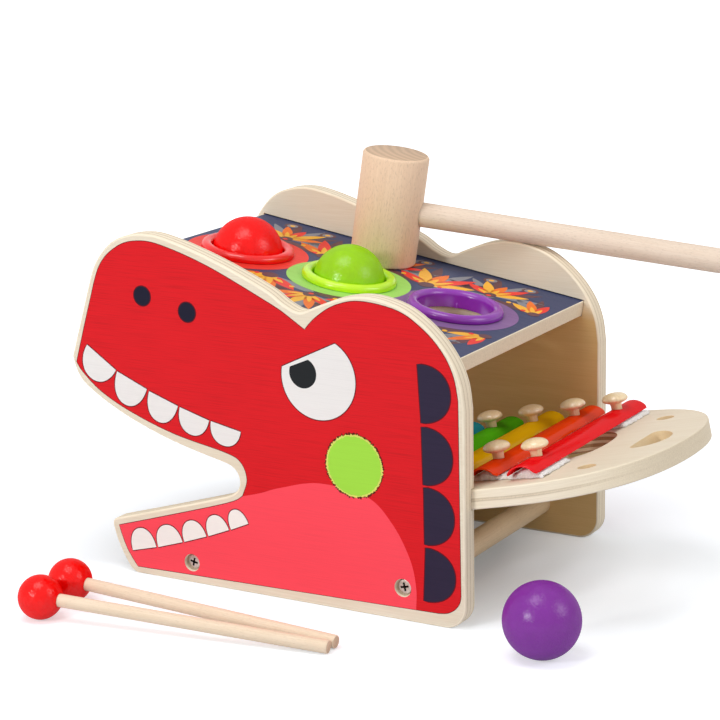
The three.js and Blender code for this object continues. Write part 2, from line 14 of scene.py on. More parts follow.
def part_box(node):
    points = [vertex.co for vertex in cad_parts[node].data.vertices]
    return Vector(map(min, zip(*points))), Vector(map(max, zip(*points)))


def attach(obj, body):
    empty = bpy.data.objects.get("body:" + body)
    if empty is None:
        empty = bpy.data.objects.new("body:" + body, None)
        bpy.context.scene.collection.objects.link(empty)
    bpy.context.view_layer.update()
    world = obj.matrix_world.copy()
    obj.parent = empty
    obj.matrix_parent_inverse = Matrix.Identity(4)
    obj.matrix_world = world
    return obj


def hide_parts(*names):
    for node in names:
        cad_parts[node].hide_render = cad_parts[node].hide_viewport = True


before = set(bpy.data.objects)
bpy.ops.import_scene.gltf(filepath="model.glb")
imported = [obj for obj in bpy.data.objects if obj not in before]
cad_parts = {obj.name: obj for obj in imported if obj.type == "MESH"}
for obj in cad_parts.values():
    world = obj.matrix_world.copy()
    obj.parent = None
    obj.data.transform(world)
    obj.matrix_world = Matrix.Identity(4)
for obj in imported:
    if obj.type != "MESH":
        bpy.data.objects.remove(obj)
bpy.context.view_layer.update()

bl_info = {
    "name": "Xylophone Pounding Bench",
    "version": (1, 0, 0),
    "blender": (4, 5, 0),
    "location": "View3D > Sidebar > Pounding Bench",
    "description": "Builds the pieces, finishes and stage of a wooden pounding bench with a xylophone tray",
    "category": "Object",
}

MM = 0.001
LEVEL = (0, 0, 0)
SIDES = ((-1, "left"), (1, "right"))
ENDS = ("front", "rear")
# How far a cutter reaches past the shape that it cuts.
OVERCUT = 5 * MM
# A face counts as flat when its normal's part along the axis is over this.
FLAT = 0.995
# How many pitches of the plywood's layers a thickness holds.
PANEL_PITCHES, BOARD_PITCHES, SOUND_HOLE_PITCHES = 3.2, 2.6, 3
# Each ring's step from the rear one, its plastic, and the disc of print round it with its layers.
RINGS = {
    "red": (2, "red", "coral", 3),
    "green": (1, "green_ring", "leaf", 4),
    "purple": (0, "purple", "mauve", 3),
}
# Each ball's paint, and how its poles lean and turn, in degrees.
BALLS = {"red": ("red", 35, 20), "green": ("green", -40, 60), "purple": ("purple_ball", 60, -30)}
# Each lamp's place, seen from the point in the bench frame that they all light, and its size.
LAMP_AIM = Vector((-0.12, 0, 0.09))
LAMPS = {
    "front": ((-0.37, -1.5, 0.6), 0.28),
    "top": ((-0.1, -0.5, 1.5), 0.85),
    "side": ((1.35, 0.1, 0.75), 0.8),
}

# The bench frame: x = 0 at the panels' rear edge, y = 0 midway between them, z = 0 on the floor.
NEAR_LOW, NEAR_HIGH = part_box("left_side_panel")
FAR_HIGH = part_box("right_side_panel")[1]
BENCH_FRAME = Matrix.Translation((NEAR_HIGH.x, (NEAR_LOW.y + FAR_HIGH.y) / 2, 0))
BENCH_WIDTH = FAR_HIGH.y - NEAR_LOW.y
PANEL_THICKNESS = NEAR_HIGH.y - NEAR_LOW.y
HEAD_LENGTH = NEAR_HIGH.x - NEAR_LOW.x
HEAD_HEIGHT = NEAR_HIGH.z
BALL_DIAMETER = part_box("purple_ball")[1].z


def length(name, description, millimetres):
    return FloatProperty(
        name=name, description=description, default=millimetres * MM, unit="LENGTH", precision=4)


def turn(name, description, degrees):
    return FloatProperty(name=name, description=description, default=math.radians(degrees), subtype="ANGLE")


def share(name, description, value):
    return FloatProperty(name=name, description=description, default=value, subtype="FACTOR", min=0, max=1)


def power(name, description, watts):
    return FloatProperty(name=name, description=description, default=watts, unit="POWER")


def paint(name, description, red, green, blue):
    """A colour property, given by its screen values from 0 to 255."""
    parts = [value / 255 for value in (red, green, blue)]
    linear = [((part + 0.055) / 1.055) ** 2.4 if part > 0.04045 else part / 12.92 for part in parts]
    return FloatVectorProperty(
        name=name, description=description, default=linear, subtype="COLOR", size=3, min=0, max=1)


class BenchSizes(PropertyGroup):
    edge_round: length("Edge round", "Rounding of the plywood edges", 1.3)
    foot_round: length("Foot round", "Radius of the panels' rear foot corner", 14)
    groove_depth: length("Groove depth", "Depth of the panels' grooves", 4.3)
    groove_room: length("Groove room", "Gap in a groove above the board", 0.7)
    seat_gap: length("Seat gap", "Gap between pieces that rest on each other", 0.3)
    ink: length("Ink", "Thickness of one layer of print", 0.04)
    ink_edge: length("Ink edge", "Width of the dark line round a printed shape", 0.6)
    board_thickness: length("Board thickness", "Thickness of the top board", 10)
    board_length: length("Board length", "Length of the top board along its slope", 242)
    board_round: length("Board round", "Rounding of the top board's edges", 0.7)
    board_slope: turn("Board slope", "Fall of the top board to the tail", 9.35)
    board_rear_x: length("Board rear", "Rear end of the top board, from the panels' rear edge", -11)
    board_rear_z: length("Board rear height", "Height of the top board's rear end", 158.3)
    rear_ring: length("Rear ring", "Setback of the rear ring along the board", 47.2)
    front_ring: length("Front ring", "Setback of the front ring along the board", 43.2)
    disc_radius: length("Disc radius", "Radius of the printed disc round a ring", 39.5)
    ring_play: length("Ring play", "Gap between a ball and its ring", 0.7)
    ring_wall: length("Ring wall", "Wall of a ring's tube", 2.5)
    ring_flange: length("Ring flange", "Radius of a ring's rim", 30)
    ring_height: length("Ring height", "Height of a ring's rim above the board", 5.2)
    ring_round: length("Ring round", "Rounding of a ring's rim", 3.2)
    ring_lip: length("Ring lip", "Rounding under a ring's rim", 0.6)
    ring_chamfer: length("Ring chamfer", "Chamfer of a ring's foot", 0.4)
    nub_radius: length("Nub radius", "Radius of the nubs in a ring", 1.1)
    ring_depth: length("Ring depth", "How far a ring's tube goes into the board", 5.7)
    nub_height: length("Nub height", "Height of the nubs in a ring", 3.6)
    nub_turn: turn("Nub turn", "Turn of the nubs in a ring", 23.5)
    dowel_radius: length("Rod radius", "Radius of the cross rods", 7.5)
    front_dowel_x: length("Front rod", "Place of the front rod", -190.6)
    front_dowel_z: length("Front rod height", "Height of the front rod", 13.1)
    rear_dowel_x: length("Rear rod", "Place of the rear rod", -41.5)
    rear_dowel_z: length("Rear rod height", "Height of the rear rod", 20.3)
    screw_head: length("Screw head", "Radius of a screw's head", 4.6)
    screw_shank: length("Screw shank", "Radius of a screw's shank", 1.8)
    screw_length: length("Screw length", "Length of a screw", 30)
    screw_recess: length("Screw recess", "Depth of a screw's head below the panel's face", 2.2)
    screw_bore: length("Screw bore", "Radius of the bore round a screw's head", 5.6)
    screw_flare: length("Screw flare", "Depth of the flare at a screw's bore", 1.3)
    screw_cone: share("Screw cone", "Depth of a screw head's cone, as a share of its radius", 0.76)
    cross_reach: length("Cross reach", "Half length of a screw's cross slot", 2.7)
    cross_slot: length("Cross slot", "Half width of a screw's cross slot", 0.65)
    cross_depth: length("Cross depth", "Depth of a screw's cross slot", 1.9)


class TraySizes(PropertyGroup):
    thickness: length("Tray thickness", "Thickness of the tray", 12)
    slope: turn("Tray slope", "Rise of the tray to its rounded end", 12.5)
    top_z: length("Tray height", "Height of the tray's upper face at the panels' rear edge", 83.9)
    half_width: length("Tray half width", "Half of the tray's width", 92)
    front: length("Tray front", "Front end of the tray", -182)
    front_round: length("Tray corner", "Radius of the tray's front corners", 6)
    edge_round: length("Tray edge round", "Rounding of the tray's outer edges", 1.1)
    hole_round: length("Hole round", "Rounding of the tray's holes", 0.35)
    groove_end: length("Groove end", "How far the grooves' cutters reach behind the panels", 60)
    end_start: length("Round end start", "Where the rounded end starts", 12.5)
    end_length: length("Round end length", "Length of the rounded end", 88)
    end_fullness: share("Round end fullness", "How full the rounded end is", 0.66)
    push_in: length("Push in", "How far the tray still goes in", 58)
    mallet_hole: length("Mallet hole", "Radius of the mallet holes", 5.5)
    mallet_hole_x: length("Mallet hole place", "Place of the mallet holes along the tray", 58.8)
    mallet_hole_y: length("Mallet hole offset", "Offset of the mallet holes from the middle", 59)
    grip_x: length("Finger hole", "Straight side of the finger hole", 67.5)
    grip_depth: length("Finger hole depth", "Depth of the finger hole", 18.5)
    grip_half: length("Finger hole half width", "Half of the finger hole's width", 21.5)
    sound_rear: length("Sound hole rear", "Rear end of the sound hole", 45.5)
    sound_shoulder: length("Sound hole shoulder", "Where the sound hole is widest", 15)
    sound_half: length("Sound hole half width", "Half of the sound hole's width", 36)
    sound_front: length("Sound hole front", "Centre of the sound hole's front end", -132)
    sound_front_radius: length("Sound hole front radius", "Radius of the sound hole's front end", 8)
    bar_count: IntProperty(name="Bars", description="Number of tone bars", default=8, min=1)
    bar_pitch: length("Bar pitch", "Distance between the bars", 27.5)
    first_bar: length("First bar", "Place of the longest bar", 28)
    bar_width: length("Bar width", "Width of a bar", 20)
    bar_rise: length("Bar rise", "Rise of a bar's arch", 6)
    bar_sheet: length("Bar sheet", "Thickness of a bar's sheet", 1.2)
    bar_corner: length("Bar corner", "Radius of a bar's corners", 1.6)
    bar_round: length("Bar round", "Rounding of a bar's edges", 0.35)
    bar_length: length("Longest bar", "Length of the longest bar", 164)
    peg_offset: length("Peg offset", "Offset of the widest pair of pegs", 58)
    peg_step: length("Peg step", "Change of the offset from bar to bar", 4.4)
    peg_stem: length("Peg stem", "Radius of a peg's stem", 3.4)
    peg_head: length("Peg head", "Radius of a peg's head", 8.2)
    peg_head_height: length("Peg head height", "Height of a peg's head", 7)
    peg_neck: length("Peg neck", "Gap between a bar and a peg's head", 3.2)
    peg_socket: length("Peg socket", "Depth of a peg's socket", 8)
    felt_thickness: length("Felt thickness", "Thickness of the felt", 2.7)
    felt_swell: length("Felt swell", "How far the felt swells into a bar's arch", 2.8)
    felt_half: length("Felt half width", "Half of a felt strip's width", 19)
    felt_overhang: length("Felt overhang", "Felt beyond the end bars", 12)
    felt_taper: length("Felt taper", "Width of the felt's thinner rim", 3)
    felt_thinning: length("Felt thinning", "How much thinner the felt's rim is", 1.5)
    felt_fibres: IntProperty(
        name="Felt fibres", description="Loose fibres on a felt strip", default=2400, min=0)


class ToolSizes(PropertyGroup):
    hammer_radius: length("Hammer radius", "Radius of the hammer's head", 21.5)
    hammer_length: length("Hammer length", "Length of the hammer's head", 72)
    hammer_chamfer: length("Hammer chamfer", "Chamfer of the hammer's head", 1.5)
    handle_radius: length("Handle radius", "Radius of the hammer's handle", 8)
    handle_reach: length("Handle reach", "Length of the handle outside the head", 195)
    handle_round: length("Handle round", "Rounding of the handle's end", 2.2)
    handle_socket: length("Handle socket", "Depth of the handle in the head", 32)
    hammer_x: length("Hammer place", "Place of the hammer's head along the bench", -140)
    hammer_y: length("Hammer offset", "Offset of the hammer's head from the middle", 57)
    hammer_turn: turn("Hammer turn", "Turn of the handle", 22)
    mallet_head: length("Mallet head", "Radius of a mallet's head", 13.5)
    mallet_stick: length("Mallet stick", "Radius of a mallet's stick", 4)
    mallet_reach: length("Mallet reach", "From the middle of the head to the stick's end", 185)
    stick_round: length("Stick round", "Rounding of a mallet stick's end", 0.7)
    mallet_socket: length("Mallet socket", "Depth of the stick in the head", 9)
    mallet_a_turn: turn("Mallet A turn", "Turn of the near mallet", 8.5)
    mallet_b_turn: turn("Mallet B turn", "Turn of the far mallet", 1.2)


class PaintColours(PropertyGroup):
    red_ink: paint("Red ink", "Head of the dinosaur", 220, 25, 33)
    pink_ink: paint("Pink ink", "Lower jaw", 255, 76, 90)
    navy_ink: paint("Navy ink", "Scales of the neck", 43, 34, 57)
    nostril_ink: paint("Nostril ink", "Nostrils", 18, 16, 38)
    white_ink: paint("White ink", "Upper teeth and eye", 236, 231, 227)
    black_ink: paint("Black ink", "Pupil", 26, 28, 30)
    cheek_ink: paint("Cheek ink", "Cheek", 163, 222, 70)
    cheek_fringe_ink: paint("Cheek fringe ink", "Pale fringe of the cheek", 222, 224, 108)
    cheek_edge_ink: paint("Cheek edge ink", "Rough edge of the cheek", 82, 28, 10)
    tooth_ink: paint("Tooth ink", "Lower teeth", 247, 240, 234)
    line_ink: paint("Line ink", "Thin line round a printed shape", 98, 12, 24)
    board_ink: paint("Board ink", "Ground of the top board's print", 60, 68, 102)
    coral_ink: paint("Coral ink", "Disc round the red ring, leaves and dots of the print", 240, 62, 52)
    leaf_ink: paint("Light green ink", "Disc round the green ring", 165, 220, 105)
    mauve_ink: paint("Mauve ink", "Disc round the purple ring", 136, 100, 152)
    orange_ink: paint("Orange ink", "Leaves of the board's print", 245, 120, 40)
    yellow_ink: paint("Yellow ink", "Leaves, hoops and dots of the board's print", 250, 185, 60)
    grey_ink: paint("Grey ink", "Lower leaves and hoops of the board's print", 138, 138, 146)
    brown_ink: paint("Brown ink", "Lower leaves, hoops and spray centres of the board's print", 104, 66, 70)
    birch: paint("Birch", "Faces of the plywood", 237, 225, 204)
    # Painted shade: a warm colour multiplied into the wood below the top board, where shade falls.
    shaded_birch: paint("Shaded birch", "Tint of the raw wood under the board", 255, 227, 176)
    birch_grain: paint("Birch grain", "Darker grain of the plywood", 224, 208, 182)
    ply_pale: paint("Pale ply", "Long grain in the plywood's edge", 249, 236, 213)
    ply_dark: paint("Dark ply", "End grain in the plywood's edge", 227, 209, 180)
    ply_line: paint("Ply line", "Glue lines in the plywood's edge", 176, 154, 124)
    beech: paint("Beech", "Hammer's head", 243, 213, 184)
    beech_grain: paint("Beech grain", "Darker grain of the hammer's head", 229, 195, 163)
    end_grain: paint("End grain", "Sawn ends of the hammer's head and the mallets' sticks", 214, 182, 152)
    stick: paint("Stick wood", "Sticks of the mallets", 242, 223, 200)
    stick_grain: paint("Stick grain", "Darker grain of the mallets' sticks", 227, 202, 172)
    # Partly the wood's own tone, partly painted shade: darker and warmer since the rods stand under the
    # board.
    rod: paint("Rod wood", "Cross rods", 234, 208, 172)
    rod_grain: paint("Rod grain", "Darker grain of the cross rods", 216, 186, 146)
    handle: paint("Handle wood", "Hammer's handle", 242, 224, 206)
    handle_grain: paint("Handle grain", "Darker grain of the handle", 226, 202, 180)
    hole_wall: paint("Hole wall", "Walls of the tray's holes", 240, 218, 180)
    hole_wall_grain: paint("Hole wall grain", "Darker grain of the holes' walls", 224, 196, 152)
    # Partly the real darker plywood layers, partly painted shade from the bars over the hole.
    sound_hole_band_and_shade: paint("Sound hole band", "Dark layers in the sound hole's wall", 196, 148, 102)
    peg: paint("Peg wood", "Pegs", 250, 230, 192)
    peg_grain: paint("Peg grain", "Darker grain of the pegs", 228, 196, 148)
    red: paint("Red", "Red ring, ball and mallet heads", 246, 6, 4)
    green: paint("Green", "Green ball", 152, 208, 16)
    green_ring: paint("Green ring", "Green ring", 194, 243, 22)
    purple: paint("Purple", "Purple ring", 138, 38, 168)
    purple_ball: paint("Purple ball", "Purple ball", 128, 46, 152)
    felt: paint("Felt", "Felt strips", 244, 239, 236)
    steel: paint("Steel", "Screws", 196, 184, 174)
    # Painted shade: a dark steel laid on the walls and floor of the screws' cross slots.
    screw_cross: paint("Screw cross", "Shaded walls of a screw's cross", 46, 34, 30)
    bar_1: paint("Bar 1", "Longest bar", 232, 8, 20)
    bar_2: paint("Bar 2", "Second bar", 232, 62, 8)
    bar_3: paint("Bar 3", "Third bar", 238, 184, 6)
    bar_4: paint("Bar 4", "Fourth bar", 76, 172, 16)
    bar_5: paint("Bar 5", "Fifth bar", 30, 160, 180)
    bar_6: paint("Bar 6", "Sixth bar", 40, 80, 180)
    bar_7: paint("Bar 7", "Seventh bar", 110, 45, 150)
    bar_8: paint("Bar 8", "Shortest bar", 215, 45, 125)


class StageSettings(PropertyGroup):
    azimuth: turn("Azimuth", "Way the camera looks, round the bench", 30.03)
    elevation: turn("Elevation", "Height of the camera over the horizon", 13.71)
    roll: turn("Roll", "Turn of the camera about its line of sight", -1.12)
    lens: FloatProperty(name="Lens", description="Focal length", default=112.36, unit="CAMERA")
    camera_x: length("Camera x", "From the panels' rear edge", 564.7)
    camera_y: length("Camera y", "From the left panel's face", -1093.8)
    camera_z: length("Camera z", "Above the floor", 463.6)
    front_power: power("Front power", "Lamp before the face", 9)
    top_power: power("Top power", "Lamp overhead", 9)
    side_power: power("Side power", "Lamp at the tray's end", 5.8)
    ambient: share("Ambient", "Strength of the light from all round", 0.44)
    # The floor's glow is seen only by the camera and in gloss: its lower strength under the bench is painted
    # shade, and its strength before the face is painted light over the face's bounce.
    painted_shade_glow: share("Shade glow", "Brightness that the floor adds under the bench", 0.11)
    floor_glow: share("Floor glow", "Brightness that the floor adds beside the bench", 0.43)
    face_painted_light_glow: share("Front glow", "Brightness that the floor adds before the face", 0.46)
    far_glow: share("Far glow", "Brightness that the floor adds far from the bench", 0.85)
    shade_radius: length("Shade radius", "Radius of the shaded floor under the bench", 100)
    beside_radius: length("Beside radius", "Radius at which the floor beside the bench is lit", 190)
    rise_radius: length("Rise radius", "Radius from which the floor grows brighter still", 200)
    far_radius: length("Far radius", "Radius at which the floor is brightest", 600)
    face_shade: length("Face shade", "Where the shade ends before the face, from the middle line", -75)
    face_light: length("Face light", "Where the floor before the face is lit, from the middle line", -100)
    floor: paint("Floor", "Floor", 219, 224, 230)


def settings(context, *groups):
    """The scene's settings in these groups."""
    return [getattr(context.scene, f"bench_{group}") for group in groups]


# Curves

def arc(centre, radius, start, end, steps):
    """Points of an arc, from start to end in degrees."""
    angles = [math.radians(start + (end - start) * step / steps) for step in range(steps + 1)]
    return [(centre[0] + radius * math.cos(a), centre[1] + radius * math.sin(a)) for a in angles]


def sweep(start, first, last, end, steps):
    """Points of a cubic curve, without its start."""
    points = [Vector((x, y, 0)) for x, y in (start, first, last, end)]
    return [(p.x, p.y) for p in interpolate_bezier(*points, steps + 1)[1:]]


def bend(start, pull, end, steps):
    """Points of a curve that one point pulls, without its start."""
    first = [s + (p - s) * 2 / 3 for s, p in zip(start, pull)]
    last = [e + (p - e) * 2 / 3 for e, p in zip(end, pull)]
    return sweep(start, first, last, end, steps)


def flow(points, steps):
    """A smooth line through the points, without its start."""
    line = []
    for index in range(len(points) - 1):
        start, end = points[index], points[index + 1]
        before = points[max(index - 1, 0)]
        after = points[min(index + 2, len(points) - 1)]
        first = [s + (e - b) / 6 for s, e, b in zip(start, end, before)]
        last = [e - (a - s) / 6 for e, a, s in zip(end, after, start)]
        line += sweep(start, first, last, end, steps)
    return line


def half_round(left, right, depth, steps=28):
    """A half-round on the base from left to right, bulging to the right hand of that way for depth > 0."""
    shoulder, crown = 0.94, 0.9
    middle = [(a + b) / 2 for a, b in zip(left, right)]
    half = [(b - a) / 2 for a, b in zip(left, right)]
    size = math.hypot(*half)
    out = (half[1] / size * depth, -half[0] / size * depth)
    points = []
    for step in range(steps + 1):
        angle = math.pi * step / steps
        along = -math.copysign(abs(math.cos(angle)) ** shoulder, math.cos(angle))
        away = math.sin(angle) ** crown
        points.append(tuple(m + h * along + o * away for m, h, o in zip(middle, half, out)))
    return points


def grown(points, width):
    """The closed outline moved outwards by the width."""
    after = points[1:] + points[:1]
    area = sum(x0 * z1 - x1 * z0 for (x0, z0), (x1, z1) in zip(points, after))
    out = math.copysign(width, area)
    line = []
    for before, (x, z), (x1, z1) in zip(points[-1:] + points[:-1], points, after):
        run, rise = x1 - before[0], z1 - before[1]
        size = math.hypot(run, rise)
        line.append((x + rise / size * out, z - run / size * out))
    return line


# Places

def shift(x=0, y=0, z=0):
    return Matrix.Translation((x, y, z))


def spun(angle, axis):
    return Matrix.Rotation(angle, 4, axis)


def box_middle(node):
    low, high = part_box(node)
    return (low + high) / 2


def board_frame(sizes):
    """Origin in the middle of the top board's upper rear edge, with x along its slope."""
    return BENCH_FRAME @ shift(sizes.board_rear_x, 0, sizes.board_rear_z) @ spun(sizes.board_slope, "Y")


def tray_frame(tray):
    """Origin on the tray's upper face, over the panels' rear edge, with x along its slope."""
    return BENCH_FRAME @ shift(z=tray.top_z) @ spun(-tray.slope, "Y")


def hammer_frame(sizes, tools):
    """Origin in the middle of the hammer head's lower face, with x along the handle."""
    along = (tools.hammer_x - sizes.board_rear_x) / math.cos(sizes.board_slope)
    return board_frame(sizes) @ shift(along, tools.hammer_y, sizes.seat_gap) @ spun(tools.hammer_turn, "Z")


def screw_frame(x, z, side):
    """The frame of a screw in the bench frame: its +Z points out of the panel."""
    return shift(x, side * BENCH_WIDTH / 2, z) @ spun(-side * math.pi / 2, "X")


def standing(side, out):
    """Stands a flat shape up on a panel's outer face, to grow outwards (1) or inwards (-1)."""
    return Matrix(((1, 0, 0, 0), (0, 0, side * out, side * BENCH_WIDTH / 2), (0, 1, 0, 0), (0, 0, 0, 1)))


def screw_places(sizes):
    return ((sizes.front_dowel_x, sizes.front_dowel_z), (sizes.rear_dowel_x, sizes.rear_dowel_z))


def ring_pitch(sizes):
    return (sizes.board_length - sizes.rear_ring - sizes.front_ring) / 2


def ring_places(sizes):
    """Each ring's place along the board."""
    return {name: -sizes.rear_ring - ring[0] * ring_pitch(sizes) for name, ring in RINGS.items()}


def ring_hole(sizes):
    """Radius of the board's hole round a ring's tube."""
    return BALL_DIAMETER / 2 + sizes.ring_play + sizes.ring_wall + sizes.seat_gap


def bar_places(tray):
    """Each bar's place along the tray."""
    return [tray.first_bar - index * tray.bar_pitch for index in range(tray.bar_count)]


def peg_offset(tray, x):
    """How far from the tray's middle line the pegs stand at this place."""
    return tray.peg_offset - (tray.first_bar - x) / tray.bar_pitch * tray.peg_step


# Shapes

def turned(profile, steps=48):
    """A round shape from (radius, height) points, turned about Z."""
    bm = bmesh.new()
    verts = [bm.verts.new((r, 0, z)) for r, z in profile]
    edges = [bm.edges.new(pair) for pair in zip(verts, verts[1:])]
    bmesh.ops.spin(
        bm, geom=verts + edges, cent=(0, 0, 0), axis=(0, 0, 1), angle=2 * math.pi, steps=steps,
        use_merge=True)
    bmesh.ops.remove_doubles(bm, verts=bm.verts, dist=1e-7)
    bmesh.ops.recalc_face_normals(bm, faces=bm.faces)
    return bm


def slab(outline, thickness, base=0.0):
    """A flat solid from an outline in the XY plane, its underside at the base height."""
    bm = bmesh.new()
    face = bm.faces.new([bm.verts.new((x, y, base)) for x, y in outline])
    raised = bmesh.ops.extrude_face_region(bm, geom=[face])["geom"]
    lifted = [item for item in raised if isinstance(item, bmesh.types.BMVert)]
    bmesh.ops.translate(bm, verts=lifted, vec=(0, 0, thickness))
    bmesh.ops.recalc_face_normals(bm, faces=bm.faces)
    return bm


def block(low, high):
    bm = bmesh.new()
    low, high = Vector(low), Vector(high)
    bmesh.ops.create_cube(bm, size=1, matrix=shift(*(low + high) / 2) @ Matrix.Diagonal((*(high - low), 1)))
    return bm


def rod(radius, start, end, steps=32):
    """A plain round cutter along Z."""
    return turned([(0, start), (radius, start), (radius, end), (0, end)], steps)


def rods(radius, start, end, steps, places):
    """A round cutter at each (x, y) place."""
    return [moved(rod(radius, start, end, steps), shift(x, y)) for x, y in places]


def moved(bm, matrix):
    bm.transform(matrix)
    if matrix.determinant() < 0:
        bmesh.ops.reverse_faces(bm, faces=bm.faces)
    return bm


def mesh_of(name, bm):
    mesh = bpy.data.meshes.new(name)
    bm.to_mesh(mesh)
    bm.free()
    return mesh


def in_scene(name, data):
    holder = bpy.data.objects.new(name, data)
    bpy.context.scene.collection.objects.link(holder)
    return holder


def gathered(parts):
    """All the parts in one mesh."""
    whole = bmesh.new()
    for part in parts:
        mesh = mesh_of("part", part)
        whole.from_mesh(mesh)
        bpy.data.meshes.remove(mesh)
    return whole


def round_edges(bm, width, segments=4, sharper_than=50):
    """Rounds the edges where the faces turn by more than this many degrees."""
    limit = math.radians(sharper_than)
    edges = [e for e in bm.edges if e.is_manifold and e.calc_face_angle(0) > limit]
    bmesh.ops.bevel(
        bm, geom=edges, offset=width, offset_type="OFFSET", segments=segments, profile=0.5,
        affect="EDGES", clamp_overlap=True, material=-1)


def carved(bm, cutters):
    """The shape with the cutters' shapes taken out of it."""
    shapes = (bm, gathered(cutters))
    holders = [in_scene("carving", mesh_of("carving", shape)) for shape in shapes]
    body, tool = holders
    cut = body.modifiers.new("Cut", "BOOLEAN")
    cut.operation = "DIFFERENCE"
    cut.solver = "EXACT"
    cut.object = tool
    bpy.context.view_layer.update()
    shown = body.evaluated_get(bpy.context.evaluated_depsgraph_get())
    result = bmesh.new()
    result.from_mesh(shown.to_mesh())
    shown.to_mesh_clear()
    for holder in holders:
        mesh = holder.data
        bpy.data.objects.remove(holder)
        bpy.data.meshes.remove(mesh)
    if not result.faces:
        raise RuntimeError("a cut left nothing of its piece")
    return result


def faced(bm, number_of):
    """The shape with the number of its finish on each face."""
    for face in bm.faces:
        face.material_index = number_of(face)
    return bm


def finish_piece(name, bm, place, body, looks, nodes=(), sharp=40, flat_faces=False):
    """Puts a shape in its place, gives it its finishes, and lets it ride on its body."""
    mesh = mesh_of(name, moved(bm, place))
    for look in looks:
        mesh.materials.append(look)
    mesh.shade_smooth()
    mesh.set_sharp_from_angle(angle=math.radians(sharp))
    piece = in_scene(name, mesh)
    if flat_faces:
        even = piece.modifiers.new("Flat faces", "WEIGHTED_NORMAL")
        even.keep_sharp = True
    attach(piece, body)
    if nodes:
        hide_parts(*nodes)


# Finishes

def set_socket(look, socket, value):
    """Links a socket to another's output, or sets its number or colour."""
    if isinstance(value, bpy.types.NodeSocket):
        look.node_tree.links.new(value, socket)
    elif socket.type == "RGBA" and len(value) == 3:
        socket.default_value = (*value, 1)
    else:
        socket.default_value = value


def add_node(look, kind, inputs=None, **options):
    made = look.node_tree.nodes.new(kind)
    for key, value in options.items():
        setattr(made, key, value)
    for key, value in (inputs or {}).items():
        set_socket(look, made.inputs[key], value)
    return made


def new_look(name, **sockets):
    """A material with these inputs of its main shader set."""
    look = bpy.data.materials.new(name)
    look.use_nodes = True
    for key, value in sockets.items():
        drive(look, key.replace("_", " "), value)
    return look


def drive(look, socket, value):
    """Links or sets an input of the look's main shader."""
    set_socket(look, look.node_tree.nodes["Principled BSDF"].inputs[socket], value)


def cells(look, size, spin=LEVEL, centre=LEVEL):
    """Object coordinates counted in cells of this size, along turned axes."""
    place = add_node(look, "ShaderNodeTexCoord")
    return add_node(look, "ShaderNodeMapping", {
        "Vector": place.outputs["Object"], "Location": centre, "Rotation": spin, "Scale": size,
    }, vector_type="TEXTURE").outputs["Vector"]


def mottle(look, size, spin=LEVEL, detail=4, roughness=0.55, distortion=0.0):
    """Noise in cells of this size in millimetres: one number, or one for each of the turned axes."""
    across = size if isinstance(size, tuple) else (size, size, size)
    return add_node(look, "ShaderNodeTexNoise", {
        "Vector": cells(look, [part * MM for part in across], spin), "Scale": 1.0, "Detail": detail,
        "Roughness": roughness, "Distortion": distortion,
    }).outputs["Fac"]


def spread(look, value, low, high, to_low=0.0, to_high=1.0):
    """The value with one range stretched to another, held at its ends."""
    return add_node(look, "ShaderNodeMapRange", {
        "Value": value, "From Min": low, "From Max": high, "To Min": to_low, "To Max": to_high,
    }).outputs["Result"]


def worked(look, operation, first, second=0.0):
    """The result of a maths operation on two values."""
    return add_node(look, "ShaderNodeMath", {0: first, 1: second}, operation=operation).outputs["Value"]


def weighed(look, first, second, weight):
    """Two values added, with this weight on the first and the rest on the second."""
    parts = [worked(look, "MULTIPLY", value, part) for value, part in ((first, weight), (second, 1 - weight))]
    return worked(look, "ADD", *parts)


def part_of(look, vector, axis):
    """One coordinate of a vector."""
    return add_node(look, "ShaderNodeSeparateXYZ", {"Vector": vector}).outputs[axis]


def blended(look, factor, first, second, blend="MIX"):
    """Two colours mixed by a factor."""
    sockets = {0: factor, 6: first, 7: second}
    return add_node(look, "ShaderNodeMix", sockets, data_type="RGBA", blend_type=blend).outputs[2]


def relief(look, height, strength, distance):
    """Bumps in the surface and its coat, with their distance in millimetres."""
    sockets = {"Height": height, "Strength": strength, "Distance": distance * MM}
    bump = add_node(look, "ShaderNodeBump", sockets)
    for socket in ("Normal", "Coat Normal"):
        drive(look, socket, bump.outputs["Normal"])


def shade(colour, factor):
    """The colour made darker or lighter."""
    return [min(part * factor, 1) for part in colour]


def clouded(look, value, colour, darker, lighter, low=0.3, high=0.7):
    """Lets the colour vary between two shades of it."""
    tone = blended(look, spread(look, value, low, high), shade(colour, darker), shade(colour, lighter))
    drive(look, "Base Color", tone)


def uneven(look, value, smooth, rough, low=0.3, high=0.7):
    """Lets the roughness vary between two values."""
    drive(look, "Roughness", spread(look, value, low, high, smooth, rough))


